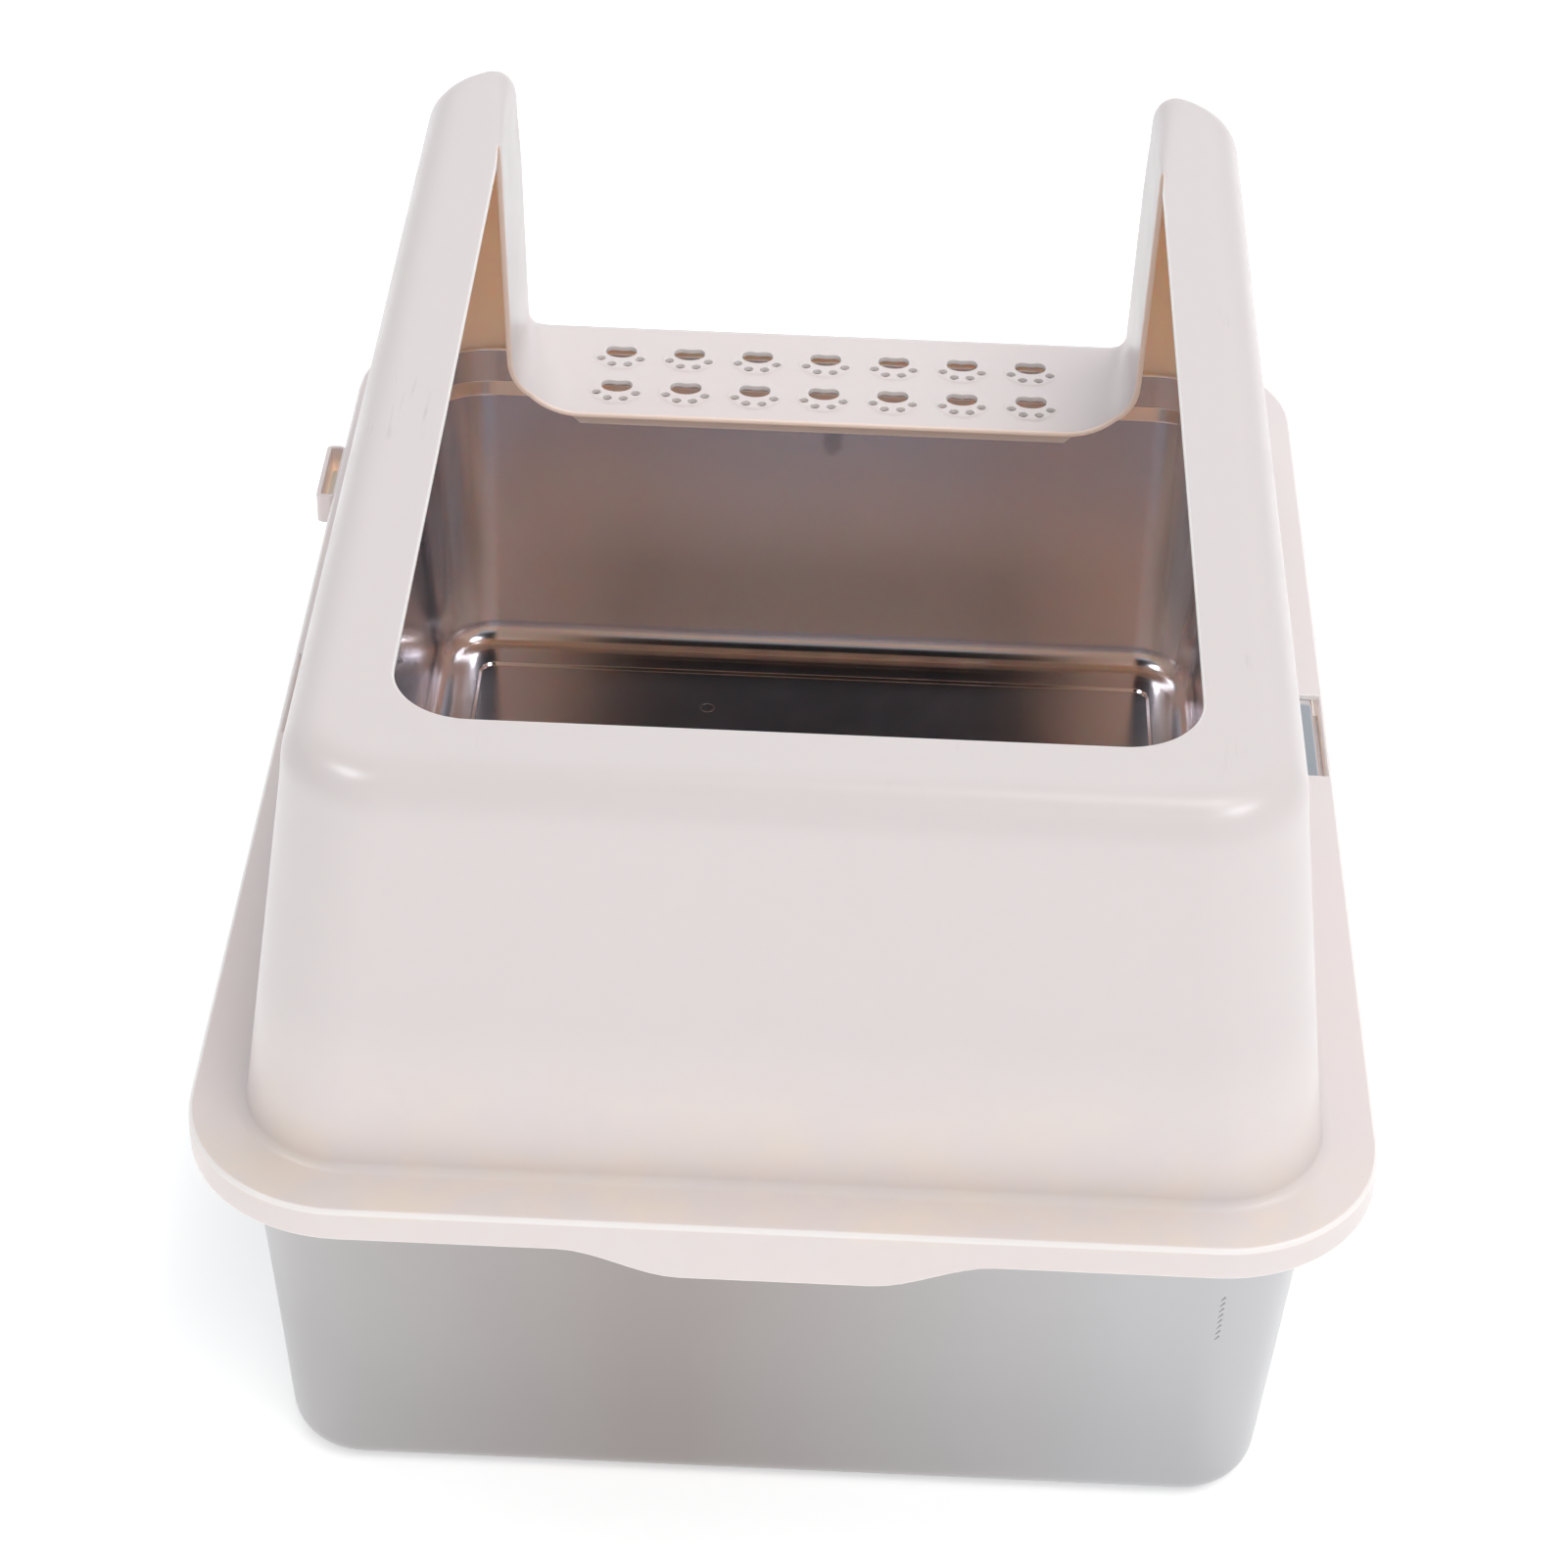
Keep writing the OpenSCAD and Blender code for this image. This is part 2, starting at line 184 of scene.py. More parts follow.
LENS, SENSOR = 90.69, 36

# How the half sheet is divided, from the middle of the back round to the middle of the front.
# DEPTH has shares of the step's depth, RING_SHARES of the top ring's width
BACK_MARKS = np.concatenate([np.linspace(0, TAB_FLAT, 5)[:-1], np.linspace(TAB_FLAT, TAB_ROOT, 9)[:-1],
                             np.linspace(TAB_ROOT, CENTRE_X, 6)]) / CENTRE_X
CORNER_STEPS = 16
SLOT_Y = (-23.8 * MM, 28.2 * MM)
SIDE_STEPS = (8, 4, 8)
DEPTH = np.array([0, .02, .05, .09, .15, .22, .30, .38, .46, .54, .62, .70, .76, .82, .88, .92, .96, 1])
FIELD_ROWS, FIELD_COLUMNS = (3, 14), 11
RING_SHARES = np.linspace(0, 1, 9)
CLOSE_STEPS = np.array([0, 3.5, 7, 11, 15, 19.5, 24]) * MM
WALL_STEPS = np.array([30, 38, 47, 57, 68, 80, 92, 104, 114, 122]) * MM
STEP_XS = np.concatenate([ENTRY_X - CLOSE_STEPS, np.linspace(PAW_FIELD_X, 0, FIELD_COLUMNS)])
WALL_ZS = STEP_Z + np.concatenate([CLOSE_STEPS, WALL_STEPS])
FOLD_STEPS = 8
SKIRT_SHARES, EDGE_ANGLES, FLANGE_INSETS = (0, .25, .5, .8), (0, 22, 44, 64.3, 78, 90), (5 * MM, 11.5 * MM)
SLOT_ROWS = range(8, 11)
QUARTER_ARC = np.radians((0, 30, 60, 90))
RELAX_FROM_Y = NEAR_Y - 30 * MM
CLOSE, SAME = 0.05 * MM, 0.001 * MM


def round_and(a, b, r):
    """Where both fields are inside, with the edge rounded to r."""
    return np.minimum(np.maximum(a, b), -r) + np.hypot(np.maximum(a + r, 0), np.maximum(b + r, 0))


def round_or(a, b, r):
    """Where either field is inside, with the corner filled to r."""
    return np.maximum(np.minimum(a, b), r) - np.hypot(np.maximum(r - a, 0), np.maximum(r - b, 0))


def soft_min(a, b, k):
    """The smaller of the two, blended where they differ by less than k."""
    h = np.maximum(k - np.abs(a - b), 0) / k
    return np.minimum(a, b) - h * h * k / 4


def smooth(low, high, v):
    """An S-shaped step from 0 at low to 1 at high."""
    t = np.clip((v - low) / (high - low), 0, 1)
    return t * t * (3 - 2 * t)


def unit(rows):
    """Each row scaled to a length of 1."""
    return rows / np.linalg.norm(rows, axis=1)[:, None]


def plan_distance(x, y, half_w, back, front, r):
    """Distance outside a rounded rectangle in plan, negative inside."""
    cx = np.abs(x) - (half_w - r)
    cy = np.abs(y - (front + back) / 2) - ((front - back) / 2 - r)
    return np.hypot(np.maximum(cx, 0), np.maximum(cy, 0)) + np.minimum(np.maximum(cx, cy), 0) - r


def near_y(z):
    """The entrance lining's free edge leans back as the front wall does."""
    return NEAR_Y + (RING_Z - z) * FRONT_LEAN


def body_size(z):
    """Half width, back, front and corner radius of the hood's walls at height z."""
    top = FOLD_Z - FLANGE_Z
    rise = soft_min(z - FLANGE_Z, top, FOLD_BLEND)
    return (FOOT_X - SIDE_LEAN * rise, FOOT_BACK + BACK_LEAN * rise, FOOT_FRONT - FRONT_LEAN * rise,
            FOOT_R + (FOLD_CORNER_R - FOOT_R) * rise / top)


def hood_field(p):
    """Zero on the outside of the hood moulding, negative in the solid that it wraps."""
    x, y, z = p[:, 0], p[:, 1], p[:, 2]
    walls = plan_distance(x, y, *body_size(z))
    body = round_and(walls, z - RING_Z, FOLD_R)
    depth = (y - near_y(z)) / (FOOT_FRONT - near_y(FLANGE_Z))
    trough = TROUGH_NEAR_R + (TROUGH_FAR_R - TROUGH_NEAR_R) * smooth(0, 1, depth)
    entrance = round_and(np.abs(x) - ENTRY_X, STEP_Z - z, trough)
    entrance = np.maximum(entrance, near_y(z) - LINING_OVERRUN - y)
    along = EDGE_NEAR_R + (EDGE_TIP_R - EDGE_NEAR_R) * smooth(NEAR_Y, NEAR_Y + EDGE_GROWTH, y)
    along = along * smooth(NEAR_Y - EDGE_FADE, NEAR_Y, y) + EDGE_MIN_R
    edge = EDGE_FRONT_R + (along - EDGE_FRONT_R) * smooth(EDGE_FROM_Z, EDGE_TO_Z, z)
    cut = round_and(body, -entrance, edge)
    plate = round_and(plan_distance(x, y, HALF_W, -HALF_L, HALF_L, CORNER_R), z - FLANGE_Z, EDGE_R)
    return round_or(cut, plate, FOOT_FILLET)


def onto_field(p, field, times=5):
    """Moves points along the field's slope until they lie on its zero."""
    h = 0.02 * MM
    for _ in range(times):
        value = field(p)
        slope = np.stack([(field(p + h * axis) - field(p - h * axis)) / (2 * h) for axis in np.eye(3)], 1)
        p = p - slope * (value / np.maximum((slope ** 2).sum(1), 0.2))[:, None]
    return p


class Sheet:
    """A mesh of one side of a moulding. Points that fall on one spot are one vertex."""

    def __init__(self):
        self.points, self.seen, self.faces = [], {}, []

    def at(self, p):
        key = tuple(round(float(c) / SAME + 0.313) for c in p)
        if key not in self.seen:
            self.seen[key] = len(self.points)
            self.points.append([float(c) for c in p])
        return self.seen[key]

    def face(self, corners):
        loop = [c for i, c in enumerate(corners) if c != corners[i - 1]]
        if len(loop) > 2:
            self.faces.append(tuple(loop))

    def patch(self, grid, flip=False, skip=()):
        """Quads over a grid of points; skip holds the (row, column) cells left out."""
        ids = [[self.at(p) for p in row] for row in grid]
        for i in range(len(ids) - 1):
            for j in range(len(ids[0]) - 1):
                if (i, j) in skip:
                    continue
                quad = [ids[i][j], ids[i][j + 1], ids[i + 1][j + 1], ids[i + 1][j]]
                self.face(quad[::-1] if flip else quad)


def quarter_turn(cx, cy, r, start, steps, count):
    """The first points of a quarter circle that starts at an angle in degrees."""
    angles = [math.radians(start + 90 * i / steps) for i in range(count)]
    return [(cx + r * math.cos(a), cy + r * math.sin(a)) for a in angles]


def back_and_side(half_w, back, r):
    """Points from the middle of the back, round the corner and along the side to the entrance."""
    cx, y0 = half_w - r, back + r
    out = [(cx * f, back) for f in BACK_MARKS[:-1]]
    out += quarter_turn(cx, y0, r, -90, CORNER_STEPS, CORNER_STEPS)
    marks = (y0, *SLOT_Y, NEAR_Y)
    for low, high, n in zip(marks, marks[1:], SIDE_STEPS):
        out += [(half_w, low + (high - low) * i / n) for i in range(n)]
    return out


def half_outline(half_w, back, front, r):
    """Points of the right half of a rounded rectangle, the same number for every outline."""
    cx, y1 = half_w - r, front - r
    out = back_and_side(half_w, back, r)
    straight = y1 - NEAR_Y
    quarter = math.pi / 4
    for f in DEPTH[:-1]:
        s = f * (straight + r * quarter)
        a = max(s - straight, 0) / r
        out.append((cx + r * math.cos(a), y1 + r * math.sin(a)) if s > straight else (half_w, NEAR_Y + s))
    if cx > ENTRY_X:
        end, tip_y = quarter + (cx - ENTRY_X) / r, front
    else:
        end = math.pi / 2 - quarter - math.asin((ENTRY_X - cx) / r)
        tip_y = y1 + math.sqrt(r * r - (ENTRY_X - cx) ** 2)
    for f in RING_SHARES[:-1]:
        s = f * end
        a = quarter + min(s, quarter)
        out.append((cx + r * math.cos(a) - max(s - quarter, 0) * r, y1 + r * math.sin(a)))
    out += [(x, tip_y if i == 0 else front) for i, x in enumerate(STEP_XS)]
    return np.array(out)


# Columns of the half sheet where its parts begin
SIDE_AT = len(BACK_MARKS) - 1 + CORNER_STEPS
ARM_AT = SIDE_AT + sum(SIDE_STEPS)
TIP_AT = ARM_AT + len(DEPTH) - 1
ENTRY_AT = TIP_AT + len(RING_SHARES) - 1


def level(plan, z):
    """Points in plan placed at height z."""
    return np.column_stack([plan, np.broadcast_to(z, len(plan))])


def tab_drop(x):
    """How far the back skirt dips at x."""
    return TAB_DROP * (1 - smooth(TAB_FLAT, TAB_ROOT, np.abs(x)))


def flange_row(inset, z):
    """The flange's outline, drawn in by inset."""
    plan = half_outline(HALF_W - inset, inset - HALF_L, HALF_L - inset, CORNER_R - inset)
    return level(plan, z)


def wall_row(body_z, out, z):
    """The walls' outline at height body_z, let out by out and placed at z."""
    w, back, front, r = body_size(body_z)
    return level(half_outline(w + out, back - out, front + out, r + out), z)


def flange_rows():
    """Rows from the skirt's lower edge up and in to the foot of the walls."""
    edge = half_outline(HALF_W, -HALF_L, HALF_L, CORNER_R)
    low = SKIRT_Z - np.where(edge[:, 1] < -HALF_L + MM, tab_drop(edge[:, 0]), 0)
    top = FLANGE_Z - EDGE_R
    rows = [level(edge, low + (top - low) * f) for f in SKIRT_SHARES]
    for a in np.radians(EDGE_ANGLES):
        rows.append(flange_row(EDGE_R * (1 - math.cos(a)), top + EDGE_R * math.sin(a)))
    rows += [flange_row(inset, FLANGE_Z) for inset in FLANGE_INSETS]
    for a in np.radians(np.linspace(0, 75, 6)):
        z = FLANGE_Z + FOOT_FILLET * (1 - math.cos(a))
        rows.append(wall_row(z, FOOT_FILLET * (1 - math.sin(a)), z))
    return rows


def wall_rows():
    """Rows from the step's height up the walls and over the fold, to the edge of the flat ring."""
    rows = [wall_row(z, 0, z) for z in WALL_ZS]
    for a in np.radians(np.linspace(0, 90, FOLD_STEPS + 1)):
        rows.append(wall_row(RING_Z, -FOLD_R * (1 - math.cos(a)), FOLD_Z + FOLD_R * math.sin(a)))
    return rows


def opening_edge():
    """The ring's inner edge, column by column, from the middle of the back to the near end of the arm."""
    plan = back_and_side(ENTRY_X, OPENING_BACK, OPENING_R) + [(ENTRY_X, NEAR_Y)]
    return level(np.array(plan), RING_Z)


def coons(bottom, top, left, right, us, vs):
    """Grid between four edges: bottom and top run along us, left and right along vs."""
    u, v = us[None, :, None], vs[:, None, None]
    across = (1 - v) * bottom[None] + v * top[None]
    along = (1 - u) * left[:, None] + u * right[:, None]
    corners = ((1 - u) * (1 - v) * bottom[0] + u * (1 - v) * bottom[-1]
               + (1 - u) * v * top[0] + u * v * top[-1])
    return across + along - corners


def top_patches(fold_end):
    """The flat ring as rows of points, the arm's top as a grid, and the arm's inner edge."""
    edge = opening_edge()
    ring = [fold_end[:ARM_AT + 1] * (1 - f) + edge * f for f in RING_SHARES]
    inner = edge[-1] + (fold_end[ENTRY_AT] - edge[-1]) * DEPTH[:, None]
    outer = fold_end[ARM_AT:TIP_AT + 1]
    near = np.array([r[-1] for r in ring[::-1]])
    far = fold_end[TIP_AT:ENTRY_AT + 1][::-1]
    return ring, coons(inner, outer, near, far, DEPTH, RING_SHARES), inner


def lining_side(walls, top):
    """Rows down the side of the entrance's lining, from the arm's inner edge to the step."""
    rows = [top]
    for row in walls[-2::-1]:
        end = row[ENTRY_AT]
        start = np.array([ENTRY_X, near_y(end[2]), end[2]])
        rows.append(start + (end - start) * DEPTH[:, None])
    return rows


def step_y(share, front=STEP_FRONT):
    """How far along the step a share of its depth is."""
    return near_y(STEP_Z) + (front - near_y(STEP_Z)) * share


def half_hood():
    """Sharp-edged right half of the moulding's outside, with gaps for the slot and the paw marks."""
    sheet = Sheet()
    lower, upper = flange_rows(), wall_rows()
    slot_from = SIDE_AT + SIDE_STEPS[0]
    slots = {(r, c) for r in SLOT_ROWS for c in range(slot_from, slot_from + SIDE_STEPS[1])}
    sheet.patch(lower + [upper[0]], skip=slots)
    sheet.patch([row[:ENTRY_AT + 1] for row in upper])
    ring, arm, arm_edge = top_patches(upper[-1])
    sheet.patch(ring)
    sheet.patch(arm, flip=True)
    sheet.patch(lining_side(upper, arm_edge), flip=True)
    step = [[(f[0], step_y(d, f[1]), STEP_Z) for d in DEPTH] for f in upper[0][ENTRY_AT:]]
    last = len(STEP_XS)
    field = {(i, j) for i in range(last - FIELD_COLUMNS, last - 1) for j in range(*FIELD_ROWS)}
    sheet.patch(step, flip=True, skip=field)
    return sheet


def circle(x, y, r, n):
    return [(x + r * math.cos(a), y + r * math.sin(a)) for a in np.linspace(0, 2 * math.pi, n + 1)[:-1]]


def bean(x, y, n=32):
    """Outline of a paw's pad hole: an oval, squarish and with a hollow on its far side."""
    loop = []
    for a in np.linspace(0, 2 * math.pi, n + 1)[:-1]:
        c, d = math.cos(a), math.sin(a)
        square = PAD_SQUARE if d > 0 else 1.0
        px = math.copysign(PAD_W * abs(c) ** square, c)
        py = math.copysign(PAD_L * abs(d) ** square, d)
        hollow = PAD_HOLLOW * math.exp(-(px / PAD_HOLLOW_W) ** 2) if d > 0 else 0
        loop.append((x + px, y + PAD_AHEAD + py - hollow))
    return loop


def paw_centres():
    far_row = STEP_FRONT - PAW_INSET
    return [((c - (PAW_COLUMNS - 1) / 2) * PAW_PITCH_X, far_row - r * PAW_PITCH_Y)
            for r in range(PAW_ROWS) for c in range(PAW_COLUMNS)]


def inside(p, loop):
    """Is the point inside the closed loop?"""
    hit = False
    for (x0, y0), (x1, y1) in zip(loop, loop[1:] + loop[:1]):
        if (y0 > p[1]) != (y1 > p[1]) and p[0] < x0 + (p[1] - y0) / (y1 - y0) * (x1 - x0):
            hit = not hit
    return hit


def gap_rim(points):
    """The vertices round the gap left in the step, in order."""
    x, y, z = points.T
    y0, y1 = (step_y(DEPTH[row]) for row in FIELD_ROWS)
    tiny = 0.2 * MM
    flat = np.abs(z - STEP_Z) < CLOSE
    across = flat & (np.abs(x) < PAW_FIELD_X + tiny)
    beside = flat & (np.abs(np.abs(x) - PAW_FIELD_X) < tiny) & (y > y0 + tiny) & (y < y1 - tiny)
    low = sorted(np.flatnonzero(across & (np.abs(y - y0) < tiny)), key=lambda i: x[i])
    high = sorted(np.flatnonzero(across & (np.abs(y - y1) < tiny)), key=lambda i: -x[i])
    side = sorted(np.flatnonzero(beside), key=lambda i: y[i])
    return low + [i for i in side if x[i] > 0] + high + [i for i in side[::-1] if x[i] < 0]


def paw_loops():
    """Loops of the paw marks with how far each is raised, and the loops among them that are holes."""
    raised, holes = [], []
    for x, y in paw_centres():
        cuts = [bean(x, y)] + [circle(x + tx, y + ty, TOE_R, 16) for tx, ty in TOES]
        middle = x, y - PAW_EDGE_BACK
        raised.append((circle(*middle, PAW_EDGE, 48), 0.0))
        raised.append((circle(*middle, PAW_EDGE - PAW_RAISE, 48), PAW_RAISE))
        raised += [(cut, PAW_RAISE) for cut in cuts]
        holes += cuts
    return raised, holes


def add_paw_field(points, faces):
    """Fills the gap in the step with a plate that has the paw-shaped holes and their raised outlines."""
    rim = gap_rim(points)
    coords, lift = [tuple(points[i, :2]) for i in rim], [0.0] * len(rim)
    loops = [list(range(len(rim)))]
    raised, holes = paw_loops()
    for loop, up in raised:
        loops.append(list(range(len(coords), len(coords) + len(loop))))
        coords += loop
        lift += [up] * len(loop)
    edges = [(a, b) for loop in loops for a, b in zip(loop, loop[1:] + loop[:1])]
    flat = [Vector(c) for c in coords]
    out, _, tris, origin, _, _ = geometry.delaunay_2d_cdt(flat, edges, [], 0, 1e-9, True)
    ids, extra = [], []
    for v, came in zip(out, origin):
        if came and came[0] < len(rim):
            ids.append(int(rim[came[0]]))
        else:
            ids.append(len(points) + len(extra))
            extra.append((v.x, v.y, STEP_Z + (lift[came[0]] if came else 0.0)))
    for tri in tris:
        middle = (out[tri[0]] + out[tri[1]] + out[tri[2]]) / 3
        if not any(abs(middle.x - h[0][0]) < PAW_PITCH_X and inside(middle, h) for h in holes):
            faces.append(tuple(ids[i] for i in tri))
    return np.vstack([points, extra]), faces


def corner_sums(points, faces):
    """Angle-weighted normals at the vertices."""
    total = np.zeros_like(points)
    for n in sorted({len(f) for f in faces}):
        group = np.array([f for f in faces if len(f) == n])
        for k in range(n):
            here = points[group[:, k]]
            a, b = points[group[:, (k + 1) % n]] - here, points[group[:, k - 1]] - here
            normal = np.cross(a, b)
            size = np.linalg.norm(normal, axis=1)
            angle = np.arctan2(size, (a * b).sum(1))
            np.add.at(total, group[:, k], normal / np.maximum(size, 1e-18)[:, None] * angle[:, None])
    return total / np.maximum(np.linalg.norm(total, axis=1), 1e-12)[:, None]


def relax(points, faces, free, times, field):
    """Evens out the spacing of the free vertices, keeping them on the field."""
    pairs = np.array([(a, b) for f in faces for a, b in zip(f, f[1:] + f[:1])])
    pairs = np.vstack([pairs, pairs[:, ::-1]])
    count = np.bincount(pairs[:, 0], minlength=len(points))
    for _ in range(times):
        mean = np.zeros_like(points)
        np.add.at(mean, pairs[:, 0], points[pairs[:, 1]])
        mean /= np.maximum(count, 1)[:, None]
        points = np.where(free[:, None], points * 0.5 + mean * 0.5, points)
        points[free] = onto_field(points[free], field, 2)
    return points


def free_edges(faces):
    """Each vertex on a free edge with the next one along it."""
    used = {(a, b) for f in faces for a, b in zip(f, f[1:] + f[:1])}
    return {a: b for a, b in used if (b, a) not in used}


def edge_loops(faces):
    after, loops = free_edges(faces), []
    while after:
        start = min(after)
        loop, here = [start], after.pop(start)
        while here != start:
            loop.append(here)
            here = after.pop(here)
        loops.append(loop)
    return loops


def rim_rings(p, n, depth, rim_of):
    """Rows of points round a free edge p, with normals n, from the sheet's first side to its second."""
    ahead = unit(np.roll(p, -1, 0) - p)
    way = unit(ahead + np.roll(ahead, 1, 0))
    out = unit(np.cross(way, n))
    r = rim_of(np.linalg.norm(np.roll(p, -1, 0) - p, axis=1).sum())
    steps = [(r * (1 - math.sin(a)), r * (1 - math.cos(a))) for a in QUARTER_ARC]
    return [p - out * s - n * c for s, c in steps] + [p - out * c - n * (depth - s) for s, c in steps]


def thicken(points, faces, depth, rim_of):
    """A closed shell from one side of a sheet: a second side at depth, and round rims along the free edges.
    Its vertices are the first side, the second side and the rims, in that order. rim_of gives a rim's
    radius from the length of its edge."""
    normals = corner_sums(points, faces)
    inner = points - normals * depth
    base, outer = len(points), points.copy()
    extra, rims = [], []
    for loop in edge_loops(faces):
        rings = rim_rings(points[loop], normals[loop], depth, rim_of)
        outer[loop], inner[loop] = rings[0], rings[-1]
        ids = [loop]
        for ring in rings[1:-1]:
            ids.append([2 * base + len(extra) + i for i in range(len(loop))])
            extra += list(ring)
        ids.append([base + i for i in loop])
        for low, high in zip(ids, ids[1:]):
            for i in range(len(loop)):
                j = (i + 1) % len(loop)
                rims.append((low[j], low[i], high[i], high[j]))
    back = [tuple(base + i for i in f[::-1]) for f in faces]
    return np.vstack([outer, inner, np.array(extra).reshape(-1, 3)]), faces + back + rims


def mirrored(points, faces):
    """Both halves of a sheet from its right half; the points at x = 0 are shared."""
    middle = points[:, 0] < SAME
    points[middle, 0] = 0
    twin = np.where(middle, np.arange(len(points)), np.cumsum(~middle) - 1 + len(points))
    flipped = points[~middle] * (-1, 1, 1)
    faces = faces + [tuple(int(twin[i]) for i in f[::-1]) for f in faces]
    return np.vstack([points, flipped]), faces


def hood_mesh():
    """The outside of the hood moulding, as one sheet."""
    sheet = half_hood()
    points = onto_field(np.array(sheet.points), hood_field)
    faces = sheet.faces
    edge = np.zeros(len(points), bool)
    edge[list(free_edges(faces))] = True
    x, y, z = points.T
    loose = (z > FLANGE_Z + FOOT_FILLET) & (y > RELAX_FROM_Y) & ~edge & (x > SAME)
    loose &= ~((np.abs(z - STEP_Z) < CLOSE) & (x < PAW_FIELD_X + MM))
    points = relax(points, faces, loose, 12, hood_field)
    points, faces = mirrored(onto_field(points, hood_field, 3), faces)
    points, faces = add_paw_field(points, faces)
    return points, outward(points, faces)


def outward(points, faces):
    """Turns each face so that it looks away from the moulding's solid."""
    middles = np.array([points[list(f)].mean(0) for f in faces])
    sides = np.array([np.cross(points[f[1]] - points[f[0]], points[f[2]] - points[f[0]]) for f in faces])
    h = 0.2 * MM
    slope = np.stack([hood_field(middles + h * a) - hood_field(middles - h * a) for a in np.eye(3)], 1)
    return [f if s > 0 else f[::-1] for f, s in zip(faces, (slope * sides).sum(1))]


def linked(name, data):
    """A new object in the scene that shows the given mesh, light or camera."""
    obj = bpy.data.objects.new(name, data)
    bpy.context.scene.collection.objects.link(obj)
    return obj


def add_object(name, points, faces):
    mesh = bpy.data.meshes.new(name)
    mesh.from_pydata([tuple(p) for p in points], [], faces)
    mesh.validate()
    mesh.shade_smooth()
    return linked(name, mesh)


def join(parts):
    """One list of points and faces from several."""
    points, faces = [], []
    for p, f in parts:
        faces += [tuple(len(points) + i for i in face) for face in f]
        points += [tuple(c) for c in p]
    return np.array(points), faces


def bevelled(points, faces, width, segments=2, angle=40):
    """A small solid with its sharp edges rounded."""
    bm = bmesh.new()
    verts = [bm.verts.new(p) for p in points]
    for f in faces:
        bm.faces.new([verts[i] for i in f])
    bmesh.ops.recalc_face_normals(bm, faces=bm.faces)
    sharp = [e for e in bm.edges if len(e.link_faces) == 2 and e.calc_face_angle() > math.radians(angle)]
    bmesh.ops.bevel(bm, geom=sharp, offset=width, segments=segments, profile=0.5, affect="EDGES",
                    clamp_overlap=True)
    bm.verts.index_update()
    out = [tuple(v.co) for v in bm.verts], [tuple(v.index for v in f.verts) for f in bm.faces]
    bm.free()
    return out


def prism(outline, low, high, axis):
    """A prism over a closed outline, between low and high along axis (0, 1 or 2)."""
    n = len(outline)
    points = [tuple(np.insert(p, axis, h)) for h in (low, high) for p in outline]
    faces = [tuple(range(n)), tuple(range(2 * n - 1, n - 1, -1))]
    return points, faces + [(i, (i + 1) % n, n + (i + 1) % n, n + i) for i in range(n)]


def round_rectangle(x0, y0, x1, y1, r, steps=6):
    loop = []
    for k, (cx, cy) in enumerate(((x1 - r, y1 - r), (x0 + r, y1 - r), (x0 + r, y0 + r), (x1 - r, y0 + r))):
        loop += quarter_turn(cx, cy, r, 90 * k, steps, steps + 1)
    return loop


def rib():
    """Stiffening rib under the step, set back from its free edge, with slanted ends."""
    z, y = STEP_Z - SHEET + RIB_SUNK, near_y(STEP_Z) + RIB_SETBACK
    outline = [(-RIB_HALF, z), (RIB_HALF, z), (RIB_HALF - RIB_H, z - RIB_H), (RIB_H - RIB_HALF, z - RIB_H)]
    return bevelled(*prism(outline, y, y + RIB_T, 1), RIB_SOFT)


def grown(loop, by):
    """A closed outline let out by a distance."""
    ahead = unit(np.roll(loop, -1, 0) - np.roll(loop, 1, 0))
    return loop + by * np.column_stack([ahead[:, 1], -ahead[:, 0]])


def pocket(outer, inner, low, floor, high, soft):
    """An open-topped pocket between two outlines with the same number of points, with soft rims.
    Gives points, faces and how many points come before the hollow."""
    n, out, hole = len(outer), np.array(outer), np.array(inner)
    rows = [(grown(out, soft * (math.sin(a) - 1)), low + soft * (1 - math.cos(a))) for a in QUARTER_ARC]
    rows += [(grown(out, soft * (math.cos(a) - 1)), high - soft * (1 - math.sin(a))) for a in QUARTER_ARC]
    rows += [(grown(hole, soft * (1 - math.sin(a))), high - soft * (1 - math.cos(a))) for a in QUARTER_ARC]
    before = len(rows) * n
    rows += [(grown(hole, soft * (math.cos(a) - 1)), floor + soft * (1 - math.sin(a))) for a in QUARTER_ARC]
    points = [(x, y, z) for loop, z in rows for x, y in loop]
    faces = [tuple(range(n)), tuple(range(len(points) - n, len(points)))]
    for low in range(0, before + 3 * n, n):
        high = low + n
        faces += [(low + i, low + (i + 1) % n, high + (i + 1) % n, high + i) for i in range(n)]
    return points, faces, before


def loop_mesh():
    """Scoop loop: a small square pocket on the left edge of the flange."""
    x0, y0, x1, y1 = loop_lo.x, loop_lo.y, loop_hi.x, loop_hi.y
    outer = round_rectangle(x0, y0, x1 + LOOP_SUNK, y1, LOOP_R)
    inner = round_rectangle(x0 + LOOP_WALL, y0 + LOOP_WALL, x1 - LOOP_INSET, y1 - LOOP_WALL, LOOP_HOLE_R)
    return pocket(outer, inner, loop_lo.z, loop_lo.z + LOOP_FLOOR, loop_hi.z, LOOP_SOFT)


def hook_mesh(side):
    """Snap hook: a wedge on the skirt's inner face."""
    out, nose = side * (hook_hi.x + HOOK_SUNK), side * hook_lo.x
    low, high = hook_lo.z, hook_hi.z
    outline = [(out, low), (nose, (low + high) / 2), (nose, high), (out, high)]
    points = [(x, y, z) for y in (hook_lo.y, hook_hi.y) for x, z in outline]
    _, faces = prism(outline, 0, 1, 1)
    return bevelled(points, faces, HOOK_SOFT)


